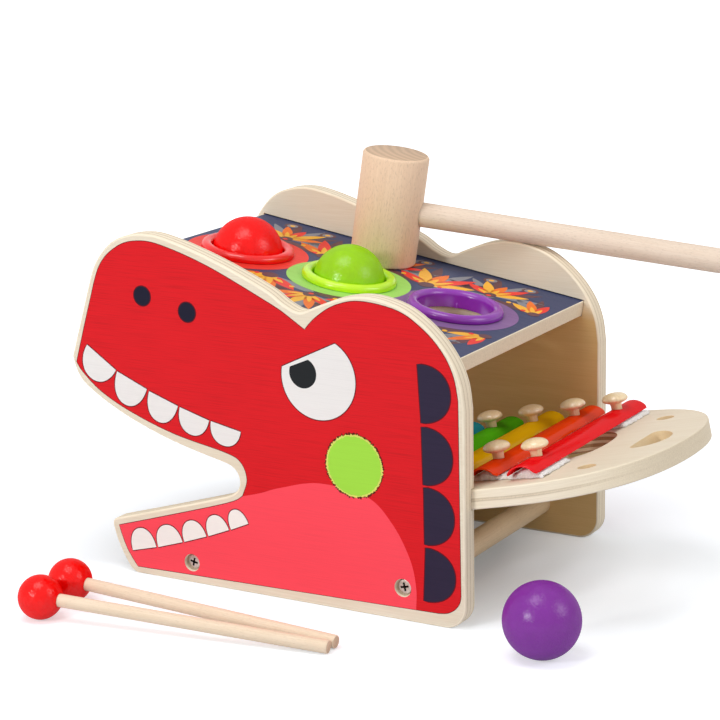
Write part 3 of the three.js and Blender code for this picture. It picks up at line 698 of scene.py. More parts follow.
def wood(name, pale, dark, spin=LEVEL, long=30, across=0.7, roughness=0.55, coat=0.0, fleck=0.0, painted_shade_below=None):
    """Wood with its grain along the turned X axis. Painted shade, if given, warms and darkens it below a
    sloping plane.
    """
    look = new_look(
        name, Roughness=roughness, Specular_IOR_Level=0.3, Coat_Weight=coat, Coat_Roughness=0.12, Coat_IOR=2)
    fibre = mottle(look, (long, across, across), spin, 4, 0.6)
    figure = mottle(look, (long * 5, across * 14, across * 14), spin, 2, 0.5, 0.6)
    colour = blended(look, spread(look, weighed(look, fibre, figure, 0.65), 0.3, 0.72), pale, dark)
    if fleck:
        pores = mottle(look, (2.6, 0.6, 0.6), spin, 2, 0.5)
        colour = blended(look, spread(look, pores, 0.54, 0.7, 0, fleck), colour, shade(dark, 0.74))
    # Painted shade: the colour is multiplied by a warm tone below the plane, fading in over 12 mm.
    if painted_shade_below:
        fade = 12 * MM
        shade_colour, slope, plane = painted_shade_below
        above = part_of(look, cells(look, (1, 1, fade), slope, plane), "Z")
        colour = blended(look, spread(look, above, 0, -1), colour, shade_colour, "MULTIPLY")
    drive(look, "Base Color", colour)
    uneven(look, fibre, roughness - 0.08, roughness + 0.08, 0.2, 0.8)
    relief(look, fibre, 0.3, 0.08)
    return look


def board_painted_shade(sizes, colours):
    """Painted shade for the wood below the top board: its colour, the board's slope and a point on its plane.
    """
    return colours.shaded_birch, (0, sizes.board_slope, 0), board_frame(sizes).translation


def ply_tones(colours):
    return colours.ply_pale, colours.ply_dark, colours.ply_line


def plywood_edge(name, tones, spin, middle, pitch, phase, core, contrast, ends=0.3):
    """The layers in the edge of a sheet whose thickness runs along the turned Z axis about its middle.

    Thin cores lie a pitch apart between thicker layers. The thick layers' grain runs along the turned X
    axis and that of the cores across it, so a core shows end grain, and so does a share (ends) of any layer
    that faces along X."""
    pale, dark, line = tones
    look = new_look(name, Roughness=0.62, Specular_IOR_Level=0.3)
    wave = spread(look, mottle(look, (40, 40, 12), spin, 2), 0, 1, phase + 0.44, phase + 0.56)
    depth = worked(look, "ADD", part_of(look, cells(look, (1, 1, pitch), spin, middle), "Z"), wave)
    away = worked(look, "ABSOLUTE", worked(look, "SUBTRACT", worked(look, "FRACT", depth), 0.5))
    inside = spread(look, away, core / 2 - 0.02, core / 2 + 0.03, 1, 0)
    facing = add_node(look, "ShaderNodeMapping", {
        "Vector": add_node(look, "ShaderNodeTexCoord").outputs["Normal"], "Rotation": spin,
    }, vector_type="TEXTURE").outputs["Vector"]
    along = part_of(look, facing, "X")
    end_faced = worked(look, "MULTIPLY", worked(look, "MULTIPLY", along, along), ends)
    end_on = worked(look, "MAXIMUM", inside, end_faced)
    streak = mottle(look, (18, 18, 0.5), spin, 4, 0.6)
    pores = mottle(look, (0.45, 0.45, 0.9), spin, 3, 0.6)
    long_grain = blended(look, spread(look, streak, 0.3, 0.75, 0, 0.6), pale, dark)
    end_grain = blended(look, spread(look, pores, 0.3, 0.8), dark, line)
    colour = blended(look, worked(look, "MULTIPLY", end_on, contrast), long_grain, end_grain)
    seam = worked(look, "ABSOLUTE", worked(look, "SUBTRACT", away, core / 2))
    seam = worked(look, "ADD", seam, worked(look, "MULTIPLY", end_faced, 0.06))
    drive(look, "Base Color", blended(look, spread(look, seam, 0.01, 0.04, 0.7 * contrast, 0), colour, line))
    relief(look, pores, 0.35, 0.1)
    return look


def ink(name, colour, spin=LEVEL, depth=0.1):
    """Satin print that lets the grain of the plywood show a little."""
    look = new_look(name, Roughness=0.42, Specular_IOR_Level=0.12)
    grain = mottle(look, (30, 0.5, 0.5), spin, 3, 0.5)
    cloud = mottle(look, 60, spin, 2)
    tone = blended(look, spread(look, grain, 0.45, 0.7), colour, shade(colour, 1 - depth))
    paler = spread(look, cloud, 0.3, 0.7, 0, 0.35)
    drive(look, "Base Color", blended(look, paler, tone, shade(colour, 1.04)))
    uneven(look, grain, 0.36, 0.5, 0.2, 0.8)
    relief(look, grain, 0.16, 0.1)
    return look


def coated(name, weight, roughness):
    """Paint whose gloss comes only from the clear coat on it."""
    return new_look(
        name, Roughness=0.4, Specular_IOR_Level=0, Coat_Weight=weight, Coat_Roughness=roughness, Coat_IOR=2)


def lacquer(name, colour):
    """Thick gloss paint on turned wood, with faint brush cells in its gloss."""
    look = coated(name, 0.21, 0.18)
    peel = mottle(look, 1, detail=1, roughness=0.4)
    clouded(look, mottle(look, 5, detail=5, roughness=0.7), colour, 0.94, 1.04)
    uneven(look, peel, 0.35, 0.47)
    relief(look, peel, 1, 0.2)
    return look


def moulded(name, colour):
    """Glossy moulded plastic."""
    look = new_look(name, Roughness=0.2, Specular_IOR_Level=0.6)
    cloud = mottle(look, 9, detail=2)
    clouded(look, cloud, colour, 0.96, 1.03)
    uneven(look, mottle(look, 0.8, detail=2), 0.16, 0.26)
    relief(look, cloud, 0.05, 0.2)
    return look


def enamel(name, colour, spin):
    """Baked paint on the arched metal bars."""
    look = coated(name, 0.16, 0.12)
    peel = mottle(look, 2.2, spin, 1)
    clouded(look, mottle(look, (18, 60, 18), spin, 2), colour, 0.97, 1.03)
    uneven(look, peel, 0.28, 0.4)
    relief(look, peel, 0.14, 0.05)
    return look


def wool(name, colour):
    """Felted fibres with a soft sheen."""
    look = new_look(name, Roughness=0.95, Sheen_Weight=0.4, Sheen_Roughness=0.6)
    tuft = mottle(look, 1.1, detail=5, roughness=0.7)
    clouded(look, tuft, colour, 0.9, 1.08, 0.36, 0.64)
    fibre = mottle(look, 0.25, detail=3, roughness=0.6)
    relief(look, worked(look, "ADD", tuft, fibre), 0.7, 0.5)
    return look


def plated_steel(name, colour):
    """Plated steel with fine scratches."""
    look = new_look(name, Metallic=1.0, Roughness=0.32)
    scratch = mottle(look, 0.5, roughness=0.7)
    clouded(look, scratch, colour, 0.8, 1, 0.35, 0.65)
    uneven(look, scratch, 0.24, 0.42)
    relief(look, scratch, 0.15, 0.03)
    return look


def sawn_end(name, pale, darker, heart, spin):
    """End grain: fine pores and arcs of the growth rings about the tree's heart."""
    look = new_look(name, Roughness=0.7)
    rings = add_node(look, "ShaderNodeTexWave", {
        "Vector": cells(look, (1, 1, 1), spin, heart), "Scale": 55.0, "Distortion": 1.2, "Detail": 2.0,
        "Detail Scale": 1.5,
    }, wave_type="RINGS", rings_direction="Z").outputs["Fac"]
    pores = mottle(look, (0.5, 0.5, 2), spin, roughness=0.7)
    clouded(look, weighed(look, rings, pores, 0.35), pale, 1, darker)
    relief(look, pores, 0.3, 0.1)
    return look


# Outlines

def head_outline(sizes):
    """Outline of a side panel in x and z: foot, chin, lower jaw, mouth, upper jaw, snout, dip, brow, back."""
    def at(along, up):
        return (-along * HEAD_LENGTH, up * HEAD_HEIGHT)

    foot = sizes.foot_round
    line = arc((-foot, foot), foot, 0, -90, 10)
    line.append(at(0.8382, 0))
    line += bend(line[-1], at(0.8545, 0), at(0.8632, 0.0147), 5)
    line += bend(line[-1], at(0.8962, 0.0711), at(0.9071, 0.1353), 6)
    line += bend(line[-1], at(0.9093, 0.1514), at(0.8962, 0.1569), 6)
    line += bend(line[-1], at(0.7438, 0.2133), at(0.6023, 0.2688), 8)
    line += sweep(line[-1], at(0.5751, 0.2798), at(0.5573, 0.2959), at(0.5581, 0.3211), 8)
    line += sweep(line[-1], at(0.5588, 0.3486), at(0.5733, 0.3647), at(0.5951, 0.3706), 8)
    jaw = [at(0.7402, 0.4147), at(0.8708, 0.4761), at(0.9724, 0.5528), at(1, 0.6239)]
    line += flow([line[-1]] + jaw, 6)
    line.append(at(0.9488, 0.8257))
    crown = [
        at(0.9234, 0.906), at(0.8708, 0.9739), at(0.7946, 1), at(0.7148, 0.9862), at(0.5951, 0.9381),
        at(0.479, 0.8771), at(0.4318, 0.8408), at(0.3919, 0.8239), at(0.3483, 0.8459), at(0.2866, 0.8743),
        at(0.2213, 0.8844), at(0.1524, 0.867), at(0.1016, 0.8326), at(0.0581, 0.7844), at(0.0254, 0.728),
        at(0.0073, 0.6697), at(0, 0.6055),
    ]
    line += flow([line[-1]] + crown, 6)
    return line


# Corners and curves of the printed face, in millimetres of the bench frame (x, z).
SNOUT_CORNER = (-272, 133)
SNOUT_LINE = [SNOUT_CORNER, (-260.5, 170), (-251, 196), (-237, 209), (-222, 213.4), (-204.5, 212),
              (-171.7, 202), (-132.5, 185), (-120, 179)]
DIP_CORNER = (-104.7, 169.6)
BROW_LINE = [DIP_CORNER, (-97, 177.6), (-84, 186), (-66.6, 190), (-42, 186.5), (-25, 176.4), (-13.6, 164.5),
             (-7, 151.7), (-4.2, 138)]
HEEL_LINE = [(-3.3, 21), (-4.1, 17), (-6.2, 13.6), (-9.2, 11), (-13, 9.3), (-18, 8.57)]
CHIN_BASE = (-232, 4.6)
CHIN_LINE = [CHIN_BASE, (-239.6, 15.8), (-245, 29.8)]
MOUTH_CORNER = (-151.6, 61.5)
LIP_LINE = [CHIN_LINE[-1], (-212.7, 39.6), (-163, 55.4), MOUTH_CORNER]
MOUTH_LINE = [MOUTH_CORNER, (-148, 72.3), (-152, 82.7), (-163, 87.8), (-200, 95), (-232, 105.4), (-254, 116),
              (-267.5, 127), SNOUT_CORNER]
JAW_LINE = [MOUTH_CORNER, (-139.1, 65.1), (-124.8, 70.3), (-97.4, 76.9), (-64.8, 73), (-47.6, 58.2),
            (-36.4, 38.5), (-32.6, 21.7), (-32.8, 8.2)]
# Half-rounds: the two ends of the base, and the depth.
UPPER_TEETH = [((-263.4, 144.8), (-242.1, 130.7), 16.6), ((-241.2, 130), (-219.3, 121), 17.2),
               ((-217.7, 120), (-196.7, 112.9), 15.9), ((-195.3, 112.4), (-174.1, 106.4), 13.9),
               ((-172.8, 106.2), (-151.5, 102), 12.4)]
LOWER_TEETH = [((-235.3, 14.6), (-217.2, 19.3), -13.5), ((-215.6, 19.6), (-197.2, 25.5), -12.8),
               ((-195.8, 25.9), (-179.2, 31.8), -12.1), ((-177.6, 32.3), (-162.4, 38.4), -11.6),
               ((-160.9, 38.9), (-148.1, 44.5), -11)]
NECK_SCALES = [((-29.9, 156.9), (-27.8, 122.3), -20), ((-27.7, 120), (-27, 85.4), -19.5),
               ((-26.7, 83.9), (-26.5, 49.3), -19.5), ((-25.9, 47.4), (-27.4, 14.6), -20)]
NOSTRILS = [(-220, 179.6), (-187.4, 172.5)]
NOSTRIL_RADIUS = 6
EYE_CENTRE, EYE_RADIUS, EYE_LID = (-96.1, 141.2), 25.2, (169, 422)
PUPIL_CENTRE, PUPIL_RADIUS, PUPIL_LID = (-106.6, 143.4), 9.3, (160, 426)
CHEEK_CENTRE, CHEEK_RADIUS = (-72.8, 90.8), 18.9
# The cheek's layers: colour, reach beyond the radius, roughness of the rim, points and seed.
CHEEK_LAYERS = (
    ("cheek_edge", 0.85, 1.2, 260, 3), ("cheek_fringe", 0.1, 0.8, 240, 5), ("cheek", -0.9, 0.5, 220, 9))
# The inks of the face, and how much the grain darkens each.
FACE_INKS = {
    "red": 0.2, "pink": 0.06, "navy": 0.15, "nostril": 0.15, "white": 0.05, "black": 0.15, "tooth": 0.04,
    "cheek": 0.05, "cheek_fringe": 0.15, "cheek_edge": 0.15, "line": 0.15,
}


def chin_and_lip():
    return [CHIN_BASE] + flow(CHIN_LINE, 4) + flow(LIP_LINE, 5)


def print_outline():
    line = [SNOUT_CORNER] + flow(SNOUT_LINE, 6) + [DIP_CORNER] + flow(BROW_LINE, 6) + HEEL_LINE[:1]
    line += flow(HEEL_LINE, 4) + chin_and_lip() + flow(MOUTH_LINE, 6)
    return line[:-1]


def jaw_outline():
    line = [MOUTH_CORNER] + flow(JAW_LINE, 8) + chin_and_lip()
    return line[:-1]


def rough_disc(centre, radius, roughness, steps, seed):
    """Points of a circle that stray in and out."""
    points = []
    for step in range(steps):
        angle = 2 * math.pi * step / steps
        stray = noise.noise((step * 0.83, seed, 0.5)) + 0.6 * noise.noise((step * 2.1, seed, 4.5))
        reach = radius + roughness * stray
        points.append((centre[0] + reach * math.cos(angle), centre[1] + reach * math.sin(angle)))
    return points


def patch(outline, level, look):
    """A patch of print on the XY plane from an outline in millimetres, as thick as its level."""
    return faced(slab([(x * MM, y * MM) for x, y in outline], level), lambda face: look)


# Operators

class BENCH_OT_side_panels(Operator):
    """Build the two plywood side panels"""
    bl_idname = "bench.side_panels"
    bl_label = "Side panels"

    def execute(self, context):
        sizes, tray, colours = settings(context, "sizes", "tray", "paint")
        face_look = wood("birch_veneer", colours.birch, colours.birch_grain)
        # The inner faces carry painted shade below the top board.
        inner_look = wood(
            "inner_veneer", colours.birch, colours.birch_grain, painted_shade_below=board_painted_shade(sizes, colours))
        for side, name in SIDES:
            bm = slab(head_outline(sizes), PANEL_THICKNESS)
            round_edges(bm, sizes.edge_round)
            bm = carved(moved(bm, standing(side, -1)), self.cutters(sizes, tray, side))
            faced(bm, lambda face: self.finish_of(face, side))
            middle = BENCH_FRAME @ Vector((0, side * (BENCH_WIDTH - PANEL_THICKNESS) / 2, 0))
            edge_look = plywood_edge(
                f"{name}_panel_edge", ply_tones(colours), (-math.pi / 2, 0, 0), middle,
                pitch=PANEL_THICKNESS / PANEL_PITCHES, phase=0, core=0.24, contrast=0.75)
            finish_piece(
                f"{name}_panel", bm, BENCH_FRAME, "bench", [face_look, edge_look, inner_look],
                [f"{name}_side_panel"], flat_faces=True)
        return {"FINISHED"}

    def finish_of(self, face, side):
        """Number of a face's finish: outer face, edge, inner face."""
        if abs(face.normal.y) <= FLAT:
            return 1
        return 0 if face.normal.y * side > 0 else 2

    def cutters(self, sizes, tray, side):
        """The board's housing, the tray's groove, and a bore for each screw."""
        gap = sizes.seat_gap
        inner = side * (BENCH_WIDTH / 2 - PANEL_THICKNESS)
        low, high = sorted((inner - side * OVERCUT, inner + side * sizes.groove_depth))
        board = block(
            (-sizes.board_length - gap, low, -sizes.board_thickness - gap), (gap, high, sizes.groove_room))
        slide = block(
            (tray.front - tray.push_in - gap, low, -tray.thickness - gap), (tray.groove_end, high, gap))
        to_bench = BENCH_FRAME.inverted()
        parts = [moved(board, to_bench @ board_frame(sizes)), moved(slide, to_bench @ tray_frame(tray))]
        head, shank = sizes.screw_head + gap, sizes.screw_shank + gap
        seat, through = -sizes.screw_recess, -PANEL_THICKNESS - OVERCUT
        # A cone under the head, a tight wall round it, and a flare at the panel's face.
        profile = [
            (0, through), (shank, through), (shank, seat - sizes.screw_head * sizes.screw_cone),
            (head, seat - 0.6 * MM), (head + 0.35 * MM, seat - 0.5 * MM),
            (head + 0.4 * MM, -sizes.screw_flare), (sizes.screw_bore, 0), (sizes.screw_bore, OVERCUT),
            (0, OVERCUT),
        ]
        for x, z in screw_places(sizes):
            parts.append(moved(turned(profile, 40), screw_frame(x, z, side)))
        return parts


class BENCH_OT_face_print(Operator):
    """Lay the printed dinosaur face on both outer faces"""
    bl_idname = "bench.face_print"
    bl_label = "Face print"

    def execute(self, context):
        sizes, colours = settings(context, "sizes", "paint")
        looks = [
            ink(f"{name}_print", getattr(colours, f"{name}_ink"), depth=depth)
            for name, depth in FACE_INKS.items()]
        index = {name: number for number, name in enumerate(FACE_INKS)}
        rim_share = 0.7
        rim = grown(print_outline(), rim_share * sizes.ink_edge / MM)
        grounds = ((rim, 0.5, "line"), (print_outline(), 1, "red"), (jaw_outline(), 2, "pink"))
        for side, name in SIDES:
            parts = [self.ground(sizes, outline, level, index[look]) for outline, level, look in grounds]
            bm = moved(gathered(parts + self.features(sizes, index)), standing(side, 1))
            finish_piece(f"{name}_face_print", bm, BENCH_FRAME, "bench", looks)
        return {"FINISHED"}

    def ground(self, sizes, outline, level, look):
        """A large patch of print with holes for the screws."""
        holes = rods(sizes.screw_bore, -OVERCUT, OVERCUT, 40, screw_places(sizes))
        return faced(carved(patch(outline, level * sizes.ink, look), holes), lambda face: look)

    def features(self, sizes, index):
        """Teeth, scales, nostrils, eye and cheek."""
        def lined(outline, look):
            return [patch(grown(outline, sizes.ink_edge / MM), 3 * sizes.ink, index["line"]),
                    patch(outline, 4 * sizes.ink, index[look])]

        parts = []
        for row, look in ((UPPER_TEETH, "white"), (LOWER_TEETH, "tooth"), (NECK_SCALES, "navy")):
            for start, end, depth in row:
                parts += lined(half_round(start, end, depth), look)
        for centre in NOSTRILS:
            parts += lined(arc(centre, NOSTRIL_RADIUS, 0, 354, 59), "nostril")
        parts += lined(arc(EYE_CENTRE, EYE_RADIUS, *EYE_LID, 48), "white")
        parts.append(patch(arc(PUPIL_CENTRE, PUPIL_RADIUS, *PUPIL_LID, 36), 5 * sizes.ink, index["black"]))
        for level, (look, beyond, roughness, steps, seed) in enumerate(CHEEK_LAYERS, 3):
            disc = rough_disc(CHEEK_CENTRE, CHEEK_RADIUS + beyond, roughness, steps, seed)
            parts.append(patch(disc, level * sizes.ink, index[look]))
        return parts


class BENCH_OT_top_board(Operator):
    """Build the printed top board"""
    bl_idname = "bench.top_board"
    bl_label = "Top board"

    def execute(self, context):
        sizes, colours = settings(context, "sizes", "paint")
        half = BENCH_WIDTH / 2 - PANEL_THICKNESS + sizes.groove_depth - sizes.seat_gap
        long, thick = sizes.board_length, sizes.board_thickness
        bm = slab([(-long, -half), (0, -half), (0, half), (-long, half)], thick, -thick)
        round_edges(bm, sizes.board_round, 3)
        centres = [(x, 0) for x in ring_places(sizes).values()]
        bm = carved(bm, rods(ring_hole(sizes), -thick - OVERCUT, OVERCUT, 64, centres))
        faced(bm, self.finish_of)
        slope, place = (0, sizes.board_slope, 0), board_frame(sizes)
        middle = place @ Vector((0, 0, -thick / 2))
        looks = [
            ink("board_ground_print", colours.board_ink, slope),
            # The underside carries the same painted shade.
            wood(
                "board_underside", colours.birch, colours.birch_grain, slope,
                painted_shade_below=board_painted_shade(sizes, colours)),
            plywood_edge(
                "board_edge", ply_tones(colours), slope, middle, pitch=thick / BOARD_PITCHES, phase=0.5,
                core=0.22, contrast=0.6, ends=1),
        ]
        finish_piece(
            "printed_board", bm, place, "bench", looks, ["top_board"], flat_faces=True)
        self.add_print(sizes, colours, slope, place)
        return {"FINISHED"}

    def finish_of(self, face):
        """Number of a face's finish: print, underside, edge."""
        if face.normal.z > FLAT:
            return 0
        return 1 if face.normal.z < -FLAT else 2

    def add_print(self, sizes, colours, slope, place):
        """Discs round the rings and a plain border of leaf sprays, hoops and dots."""
        names = ("coral", "leaf", "mauve", "orange", "yellow", "grey", "brown")
        looks = [ink(f"board_{name}_print", getattr(colours, f"{name}_ink"), slope) for name in names]
        hole, rim = ring_hole(sizes), sizes.disc_radius
        parts = []
        for ring, x in ring_places(sizes).items():
            look, layers = RINGS[ring][2:]
            top = layers * sizes.ink
            disc = turned([(hole, 0), (rim, 0), (rim, top), (hole, top), (hole, 0)], 96)
            parts.append(moved(faced(disc, lambda face: names.index(look)), shift(x)))
        for motif, level, look in board_motifs(sizes):
            parts.append(patch(motif, level * sizes.ink, names.index(look)))
        finish_piece("board_print", gathered(parts), place, "bench", looks)


def leaf(root, size, width, angle):
    """A pointed leaf from its root, in millimetres."""
    way = (math.cos(angle), math.sin(angle))
    side = (-way[1] * width, way[0] * width)

    def at(along, aside):
        return tuple(r + w * size * along + s * aside for r, w, s in zip(root, way, side))

    tip = at(1, 0)
    there = sweep(root, at(0.3, 1), at(0.75, 0.7), tip, 8)
    return [root] + there + sweep(tip, at(0.75, -0.7), at(0.3, -1), root, 8)[:-1]


def spray(root, side, size, turn_of_colours):
    """A spray of leaves that opens away from the board's middle line, over a few darker leaves."""
    motifs = []
    for blade in range(6):
        angle = side * math.radians(15 + blade * 30)
        motifs.append((leaf(root, size * 1.12, size * 0.16, angle), 1, ("grey", "brown")[blade % 2]))
    for blade in range(5):
        angle = side * math.radians(30 + blade * 30)
        look = ("orange", "yellow", "coral")[(blade + turn_of_colours) % 3]
        reach = size * (0.95 if blade % 2 else 0.78)
        motifs.append((leaf(root, reach, size * 0.17, angle), 2, look))
        if look != "yellow":
            motifs.append((leaf(root, reach * 0.55, size * 0.08, angle), 3, "yellow"))
    motifs.append((arc(root, size * 0.13, 0, 350, 35), 4, "brown"))
    return motifs


def hoop(centre, size):
    """Three discs on each other."""
    rounds = ((1, 1, "brown"), (0.68, 2, "grey"), (0.32, 3, "yellow"))
    return [(arc(centre, size * part, 0, 350, 35), level, look) for part, level, look in rounds]


def board_motifs(sizes):
    """The board's print round the discs, in millimetres of the board's frame: (outline, level, colour)."""
    pitch, rear = ring_pitch(sizes) / MM, -sizes.rear_ring / MM
    spray_line, outer_spray_line, hoop_line, dot_round, edge = 33, 48, 78, 46, 3
    large, medium, small = 40, 32, 30
    hoop_offset, hoop_radius, dot_radius = 24, 5.5, 1.7
    motifs = []
    for side, _ in SIDES:
        for step in range(4):
            x = rear + (0.5 - step) * pitch
            motifs += spray((x, side * spray_line), side, large if 0 < step < 3 else small, step)
            for aside in (hoop_offset, -hoop_offset):
                motifs += hoop((x + aside, side * hoop_line), hoop_radius)
        for step in range(3):
            x = rear - step * pitch
            motifs += spray((x, side * outer_spray_line), side, medium, step + 1)
            for spot in range(5):
                angle = math.radians(50 + 20 * spot)
                centre = (x + dot_round * math.cos(angle), side * dot_round * math.sin(angle))
                dot = arc(centre, dot_radius, 0, 340, 17)
                motifs.append((dot, 5, ("coral", "yellow")[spot % 2]))
    inside = sizes.board_length / MM - edge
    return [motif for motif in motifs if all(-inside < x < -edge for x, _ in motif[0])]


class BENCH_OT_rings(Operator):
    """Build the three flanged rings"""
    bl_idname = "bench.rings"
    bl_label = "Rings"

    def execute(self, context):
        sizes, colours = settings(context, "sizes", "paint")
        for name, x in ring_places(sizes).items():
            bm = gathered([turned(self.profile(sizes), 96), *self.nubs(sizes)])
            look = moulded(f"{name}_ring_plastic", getattr(colours, RINGS[name][1]))
            place = board_frame(sizes) @ shift(x)
            finish_piece(f"{name}_rim", bm, place, "bench", [look], [f"{name}_ring"])
        return {"FINISHED"}

    def profile(self, sizes):
        """Section of a ring: tube, flange and rounded rim."""
        bore = BALL_DIAMETER / 2 + sizes.ring_play
        tube, flange = bore + sizes.ring_wall, sizes.ring_flange
        gap, lip, cut, rim = sizes.seat_gap, sizes.ring_lip, sizes.ring_chamfer, sizes.ring_round
        foot, crown = -sizes.ring_depth, sizes.ring_height - rim
        line = [(tube, foot + cut), (tube, gap), (flange - lip, gap)]
        line += arc((flange - lip, gap + lip), lip, -80, 0, 4)
        line += arc((flange - rim, crown), rim, 0, 90, 12)
        line += arc((bore + rim, crown), rim, 90, 180, 12)
        return line + [(bore, foot + cut), (bore + cut, foot), (tube - cut, foot), line[0]]

    def nubs(self, sizes):
        """Four small posts in the tube, just clear of the ball."""
        radius, foot, slant = sizes.nub_radius, -sizes.ring_depth, 0.6 * MM
        top = foot + sizes.nub_height
        reach = BALL_DIAMETER / 2 + sizes.seat_gap + radius
        line = [(0, foot), (radius, foot), (radius, top - slant), (radius * 0.6, top), (0, top)]
        angles = [sizes.nub_turn + number * math.pi / 2 for number in range(4)]
        return [moved(turned(line, 16), shift(reach * math.cos(a), reach * math.sin(a))) for a in angles]


class BENCH_OT_balls(Operator):
    """Build the three lacquered balls"""
    bl_idname = "bench.balls"
    bl_label = "Balls"

    def execute(self, context):
        colours = context.scene.bench_paint
        radius, flat = BALL_DIAMETER / 2, 6
        pole = radius * math.cos(math.radians(flat))
        profile = [(0, -pole)] + arc((0, 0), radius, -90 + flat, 90 - flat, 56) + [(0, pole)]
        for name, (tone, lean, spin) in BALLS.items():
            node = f"{name}_ball"
            look = lacquer(f"{name}_lacquer", getattr(colours, tone))
            place = shift(*box_middle(node)) @ spun(math.radians(spin), "Z") @ spun(math.radians(lean), "X")
            bm = turned(profile, 96)
            finish_piece(f"{name}_wooden_ball", bm, place, node, [look], [node])
        return {"FINISHED"}


class BENCH_OT_tray(Operator):
    """Build the xylophone tray"""
    bl_idname = "bench.tray"
    bl_label = "Tray"

    def execute(self, context):
        sizes, tray, colours = settings(context, "sizes", "tray", "paint")
        thick = tray.thickness
        bm = slab(self.outline(tray), thick, -thick)
        round_edges(bm, tray.edge_round, 4, 60)
        low = -thick - OVERCUT
        cutters = [
            slab(hole, thick + 2 * OVERCUT, low) for hole in (self.sound_hole(tray), self.finger_hole(tray))]
        mallet_holes = [(tray.mallet_hole_x, side * tray.mallet_hole_y) for side, _ in SIDES]
        bm = carved(bm, cutters + rods(tray.mallet_hole, low, OVERCUT, 40, mallet_holes))
        round_edges(bm, tray.hole_round, 2, 60)
        sockets = [(x, side * peg_offset(tray, x)) for x in bar_places(tray) for side, _ in SIDES]
        bm = carved(bm, rods(tray.peg_stem + sizes.seat_gap, -tray.peg_socket, OVERCUT, 20, sockets))
        faced(bm, lambda face: self.finish_of(tray, face))
        slope, place = (0, -tray.slope, 0), tray_frame(tray)
        middle = place @ Vector((0, 0, -thick / 2))
        # The sound hole's wall gets darker, warmer layers than the other edges: real plywood layers with
        # painted shade from the bars in them.
        band = colours.sound_hole_band_and_shade
        layers_and_shade = (shade(colours.hole_wall, 1.1), band, shade(band, 0.6))
        looks = [
            wood("tray_veneer", colours.birch, colours.birch_grain, slope),
            plywood_edge(
                "tray_edge", ply_tones(colours), slope, middle, pitch=thick, phase=0.04, core=0.13,
                contrast=0.6, ends=1),
            wood("tray_hole_wall", colours.hole_wall, colours.hole_wall_grain, slope, long=9, across=0.8),
            plywood_edge(
                "sound_hole_wall", layers_and_shade, slope, middle, pitch=thick / SOUND_HOLE_PITCHES, phase=0.5,
                core=0.5, contrast=1),
        ]
        finish_piece("plywood_tray", bm, place, "tray", looks, ["xylophone_tray"], flat_faces=True)
        return {"FINISHED"}

    def finish_of(self, tray, face):
        """Number of a face's finish: veneer, outer edge, wall of a small hole, wall of the sound hole."""
        if abs(face.normal.z) > 0.8:
            return 0
        spot, room, front_margin = face.calc_center_median(), 1 * MM, 20 * MM
        aside = abs(spot.y)
        along_sound_hole = tray.front + front_margin < spot.x < tray.sound_rear + room
        if along_sound_hole and aside < tray.sound_half + room:
            return 3
        along_grip = tray.grip_x - room < spot.x < tray.grip_x + tray.grip_depth + room
        from_hole = math.hypot(spot.x - tray.mallet_hole_x, aside - tray.mallet_hole_y)
        in_small_hole = from_hole < tray.mallet_hole + room or along_grip and aside < tray.grip_half + room
        return 2 if in_small_hole else 1

    def outline(self, tray):
        tip = tray.end_start + tray.end_length
        reach = tray.end_start + tray.end_length * tray.end_fullness
        half, corner = tray.half_width, tray.front_round
        pull = half * tray.end_fullness
        line = [(tray.end_start, -half)]
        line += sweep(line[-1], (reach, -half), (tip, -pull), (tip, 0), 40)
        line += sweep(line[-1], (tip, pull), (reach, half), (tray.end_start, half), 40)
        line += arc((tray.front + corner, half - corner), corner, 90, 180, 8)
        line += arc((tray.front + corner, corner - half), corner, 180, 270, 8)
        return line

    def finger_hole(self, tray):
        """A half-moon whose two corners are rounded, drawn with a depth and a half width of 1, then sized."""
        end, steps = 58, 24
        run, rise = math.cos(math.radians(end)), math.sin(math.radians(end))
        line = arc((0, 0), 1, -end, end, steps)
        line += sweep(line[-1], (run - 0.3 * rise, rise + 0.18), (0, 1), (0, 0.66), 10)
        line += [(x, -y) for x, y in reversed(line[steps:])]
        return [(tray.grip_x + x * tray.grip_depth, y * tray.grip_half) for x, y in line[:-1]]

    def sound_hole(self, tray):
        half, rear, shoulder = tray.sound_half, tray.sound_rear, tray.sound_shoulder
        reach = shoulder + (rear - shoulder) * 0.75
        pull = half * 0.72
        line = [(shoulder, -half)]
        line += sweep(line[-1], (reach, -half), (rear, -pull), (rear, 0), 24)
        line += sweep(line[-1], (rear, pull), (reach, half), (shoulder, half), 24)
        return line + arc((tray.sound_front, 0), tray.sound_front_radius, 90, 270, 16)


